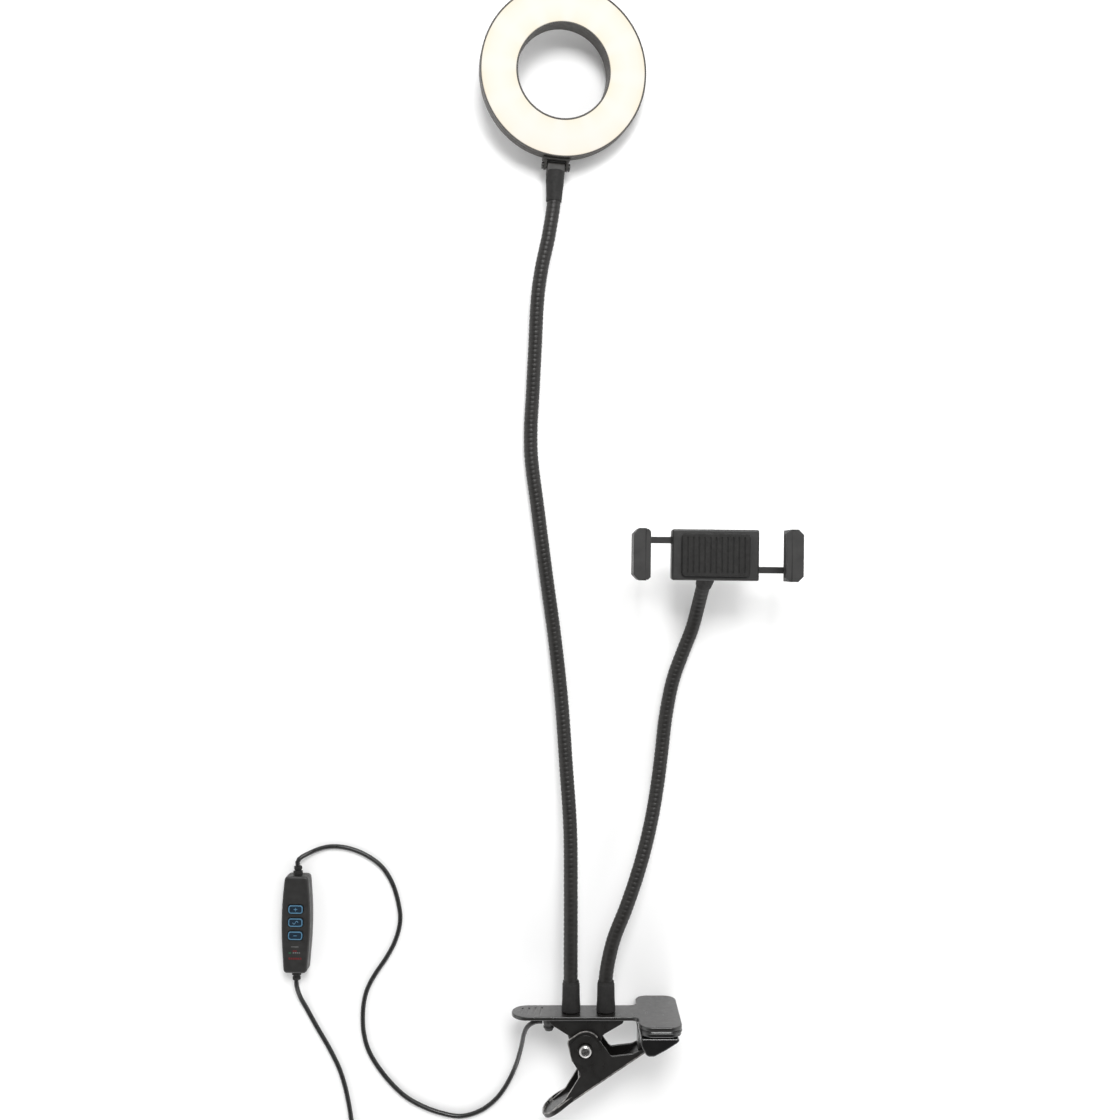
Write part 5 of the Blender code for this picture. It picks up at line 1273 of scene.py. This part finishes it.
def make_pivot():
    """The cross-slotted pin, its nut and the torsion spring, whose two legs bear on plate and lever."""
    axle = Matrix.Translation(PIVOT)
    outside = LEVER_HIGH + EAR_RISE + 0.3
    corners = [
        (0, outside + 2.1, 0), (2.3, outside + 2.0, 1.2), (3.3, outside + 1.3, 0.8), (3.6, outside + 0.35, 0.3),
        (3.6, outside, 0.1), (2.0, outside, 0), (2.0, -outside - 2.2, 0.3), (0, -outside - 2.4, 0),
    ]
    pin = turned("pivot_screw", corners, axle, 64)
    arms = []
    for angle in (20, 110):
        turn = axle @ Matrix.Rotation(math.radians(angle), 4, "Z")
        arms.append(box("cross", (-1.9, -0.38, outside + 0.9), (1.9, 0.38, outside + 3), turn))
    finish(cut(pin, *arms), STEEL, "clip", "pivot_pin")
    make_nut("pivot_hex_nut", axle, 4.0, -outside - 2.0, -outside, 2.15, "clip", "pivot_nut")

    radius, turns, pitch, start = 3.5, 3.88, 1.45, math.radians(224)
    half, wire_radius = turns * pitch / 2, 0.55
    coil = []
    count = round(turns * 32)
    for step in range(count + 1):
        share = step / count
        angle = start + 2 * math.pi * turns * share
        offset = Vector((radius * math.cos(angle), radius * math.sin(angle), half * (2 * share - 1)))
        coil.append(PIVOT + offset * MM)
    plate_leg = at(-42.6, PLATE_BOTTOM - 0.9, CLIP_Z - half)
    web_leg = PIVOT + Vector((-3.1, -22.2, half)) * MM
    body = wire_mesh("clip_spring", [plate_leg, *coil], wire_radius)
    finish(body, STEEL, "clip", "pivot_spring", sharp=None)
    leg = wire_mesh("clip_spring_leg", spaced([coil[-1], web_leg], 1.0 * MM), wire_radius)
    finish(leg, STEEL, None, sharp=None)
    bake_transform(leg)


def make_gland():
    """The stub under the plate that the lead comes out of."""
    down = pose_of(at(GLAND_X, PLATE_BOTTOM, CLIP_Z), X_AXIS, Y_AXIS)
    corners = [
        (0, 0.6, 0), (1.8, 0.6, 0.2), (1.8, -0.3, 0), (3.3, -0.3, 0.3), (3.1, -3.6, 0.8), (2.6, -5.6, 0.2),
        (2.9, -5.9, 0.1), (2.9, -6.8, 0.15), (2.3, -7.2, 0.2), (2.1, -8.3, 0.5), (0, -8.3, 0),
    ]
    finish(turned("lead_gland", corners, down, 48), PLASTIC, "clip", "cable_gland")


make_plate()
make_pads()
make_lever()
make_pivot()
make_gland()

# ---- phone holder

HOLDER_TURN = Matrix.Rotation(math.radians(-0.63), 4, "Z")
HOLDER = Matrix.Translation(at(40.9, -3.4, 0)) @ HOLDER_TURN
FLUTES = 24
HOLDER_BACK, HALF_X, HALF_Y = 34.0, 23.0, 13.5
SPLIT = HOLDER_BACK + 8.0
RACK_LOW, RACK_HIGH = 36.4, 40.4
JAW_GAP, JAW_WIDTH, JAW_OUTER = 71.4, 27.2, 44.0
TOOTH_HALF, ADDENDUM, DEDENDUM, PITCH_LINE = 0.65, 0.8, 1.0, 5.0
PRESSURE = math.radians(25.0)


def make_holder():
    """Two shells with a ribbed rubber pad on the front; the racks run between them."""
    x, y, wall, above = HALF_X, HALF_Y, 1.6, SPLIT + 2
    back = box("holder_back", (-x, -y, HOLDER_BACK), (x, y, SPLIT), HOLDER, edge=1.6, segments=5)
    x, y = x - wall, y - wall
    cutters = [box("cavity", (-x, -y, HOLDER_BACK + 1.8), (x, y, above), HOLDER)]
    for side in (-1, 1):
        near, far = sorted((side * (HALF_X - 3), side * (HALF_X + 1)))
        low_y, high_y = sorted((-side * 5.6, -side * 9.8))
        cutters.append(box("rack_way", (near, low_y, RACK_LOW - 0.4), (far, high_y, above), HOLDER))
    for index in range(5):
        x = -6.0 + 3.0 * index
        for y in (-11.6, 11.6):
            low, high = (x - 0.6, y - 1.1, HOLDER_BACK - 1), (x + 0.6, y + 1.1, HOLDER_BACK + 0.6)
            cutters.append(box("vent", low, high, HOLDER))
    post = rod("post", 1.7, HOLDER_BACK + 1.0, 41.2, HOLDER, sides=32)
    back = join(cut(back, *cutters), post)
    back = cut(back, rod("pilot", 1.15, HOLDER_BACK + 2.4, above, HOLDER, sides=32))
    finish(back, PLASTIC, "phone_holder", "holder_back_shell")
    x, y = HALF_X, HALF_Y
    front = box("holder_front", (-x, -y, SPLIT + 0.3), (x, y, SPLIT + 3.0), HOLDER, edge=1.0, segments=4)
    screw_way = rod("screw_way", 1.3, SPLIT, SPLIT + 5, HOLDER)
    front = cut(front, screw_way, rod("screw_seat", 2.4, SPLIT + 1.7, SPLIT + 5, HOLDER))
    finish(front, PLASTIC, "phone_holder", "holder_front_shell")
    low, high = SPLIT + 3.3, SPLIT + 5.3
    pad = extruded("grip_pad", centred(0, 0, 18, 11.3, 2.2), low, high, HOLDER, edge=0.7, steps=4)
    ribs = []
    for index in range(11):
        rib = centred(-15.0 + 3.0 * index, 0, 0.45, 9.4, 0.4)
        ribs.append(extruded("pad_rib", rib, high - 0.5, high + 1, HOLDER))
    finish(cut(pad, *ribs), RUBBER, "phone_holder", "holder_pad")
    repaint("holder_screw", STEEL)
    repaint("pinion_spring", STEEL)
    repaint("holder_pinion", PLASTIC)


def rack_outline(end):
    """A rack above the pinion, its gap over the pinion's tooth; its bar runs to the jaw at -X."""
    root, tip, back = PITCH_LINE + DEDENDUM, PITCH_LINE - ADDENDUM, PITCH_LINE + 4.4
    slope = math.tan(PRESSURE)
    tip_half, root_half = TOOTH_HALF - ADDENDUM * slope, TOOTH_HALF + DEDENDUM * slope
    outline = [(-41.0, back), (-41.0, root)]
    for tooth in range(-4, 3):
        middle = (tooth + 0.5) * math.pi
        outline += [(middle - root_half, root), (middle - tip_half, tip)]
        outline += [(middle + tip_half, tip), (middle + root_half, root)]
    outline += [(end, root), (end, back)]
    return [(x * MM, y * MM) for x, y in outline]


def make_jaw(side, pose):
    """A claw with a ribbed rubber pad, on a bar that is a rack inside the holder. The pose has it at -X."""
    outer, half, chamfer = -JAW_OUTER, JAW_WIDTH / 2, 2.8
    grip = -JAW_GAP / 2
    inner, lip = grip - 1.6, grip + 0.6
    low, high, lip_low = 36.0, 58.0, 56.3
    plan = rounded([
        (outer, -half + chamfer, 0.6), (outer + chamfer, -half, 0.6), (inner, -half, 0.3),
        (inner, half, 0.3), (outer + chamfer, half, 0.6), (outer, half - chamfer, 0.6),
    ], 4)
    claw = extruded(f"claw_{side}", plan, low, high, pose, edge=0.6, steps=3)
    plan = rounded([
        (outer + 2, -half + 2, 0.3), (lip - 1.5, -half + 0.3, 0.6), (lip, -half + 1.8, 0.6),
        (lip, half - 1.8, 0.6), (lip - 1.5, half - 0.3, 0.6), (outer + 2, half - 2, 0.3),
    ], 4)
    lip_plate = extruded("lip", plan, lip_low, high - 0.15, pose, edge=0.3)
    rack = extruded("rack", rack_outline(9.9), RACK_LOW, RACK_HIGH, pose)
    finish(join(claw, lip_plate, rack), JAW_PLASTIC, f"jaw_{side}", f"jaw_{side}")
    pad = box(f"claw_pad_{side}", (inner + 0.1, -half + 2, 45.5), (grip, half - 2, 55.9), pose, edge=0.4)
    ribs = []
    for z in (47.3, 49.0, 50.7, 52.4, 54.1):
        ribs.append(box("pad_slot", (grip - 0.4, -half + 1, z - 0.3), (grip + 1, half - 1, z + 0.3), pose))
    finish(cut(pad, *ribs), RUBBER, f"jaw_{side}", f"jaw_pad_{side}")


def make_ball_joint():
    """The ball on the neck's end, the socket behind the holder and its knurled lock ring."""
    ball, neck, body = 5.3, 1.9, 7.3
    pose = pose_of(BALL_CENTRE, X_AXIS, STUD_WAY)
    meet = math.degrees(math.atan2(-math.sqrt(ball**2 - neck**2), neck))
    profile = [(0.0, ball), *arc((0, 0), ball, 90, meet, 24)[1:]]
    profile += [(neck, -9.0), (3.4, -9.3), (3.4, -10.5), (0, -10.5)]
    finish(turned("ball", profile, pose, 64), STEEL, "phone_arm_4", "ball_stud")
    bore = NECK_RADIUS + 0.1
    corners = [
        (2.3, -9.0, 0), (4.3, -9.0, 0.3), (4.9, -9.9, 0.4), (4.85, -14.0, 1), (4.4, -18.6, 0.35),
        (bore, -18.6, 0), (bore, -10.8, 0), (2.3, -10.8, 0),
    ]
    boot = turned("phone_top_sleeve", corners, pose, 64, ring=True)
    finish(boot, RUBBER, "phone_arm_4", "phone_top_boot")
    centre = Matrix.Translation(BALL_CENTRE) @ HOLDER_TURN
    room, rim = ball + 0.3, -1.0
    top = HOLDER_BACK - 0.3 - (BALL_CENTRE.z / MM)
    profile = [
        (0, top), (8.4, top), (8.6, top - 0.2), (8.6, top - 1.4), (8.4, top - 1.6), (body, top - 2.6),
        (body, rim + 0.3), (body - 0.3, rim),
    ]
    profile += arc((0, 0), room, math.degrees(math.asin(rim / room)), 90, 16)
    finish(turned("ball_cup", profile, centre, 64), PLASTIC, "phone_holder", "ball_socket")
    low, high, outer, bore = -1.4, 4.0, 9.4, body + 0.3
    corners = [(outer, high, 0.4), (outer, low, 0.9), (bore, low, 0.2), (bore, high, 0.2)]
    ring = turned("knurled_ring", corners, centre, 96, ring=True)
    teeth = []
    out = Matrix.Translation(Vector((9.75, 0, 0)) * MM)
    for index in range(FLUTES):
        turn = centre @ Matrix.Rotation(2 * math.pi * index / FLUTES, 4, "Z") @ out
        teeth.append(rod("flute", 0.62, low - 1, high + 1, turn, sides=16))
    finish(cut(ring, *teeth), PLASTIC, "ball_collar", "lock_ring")


make_holder()
make_jaw("left", HOLDER)
make_jaw("right", HOLDER @ Matrix.Rotation(math.pi, 4, "Z"))
make_ball_joint()
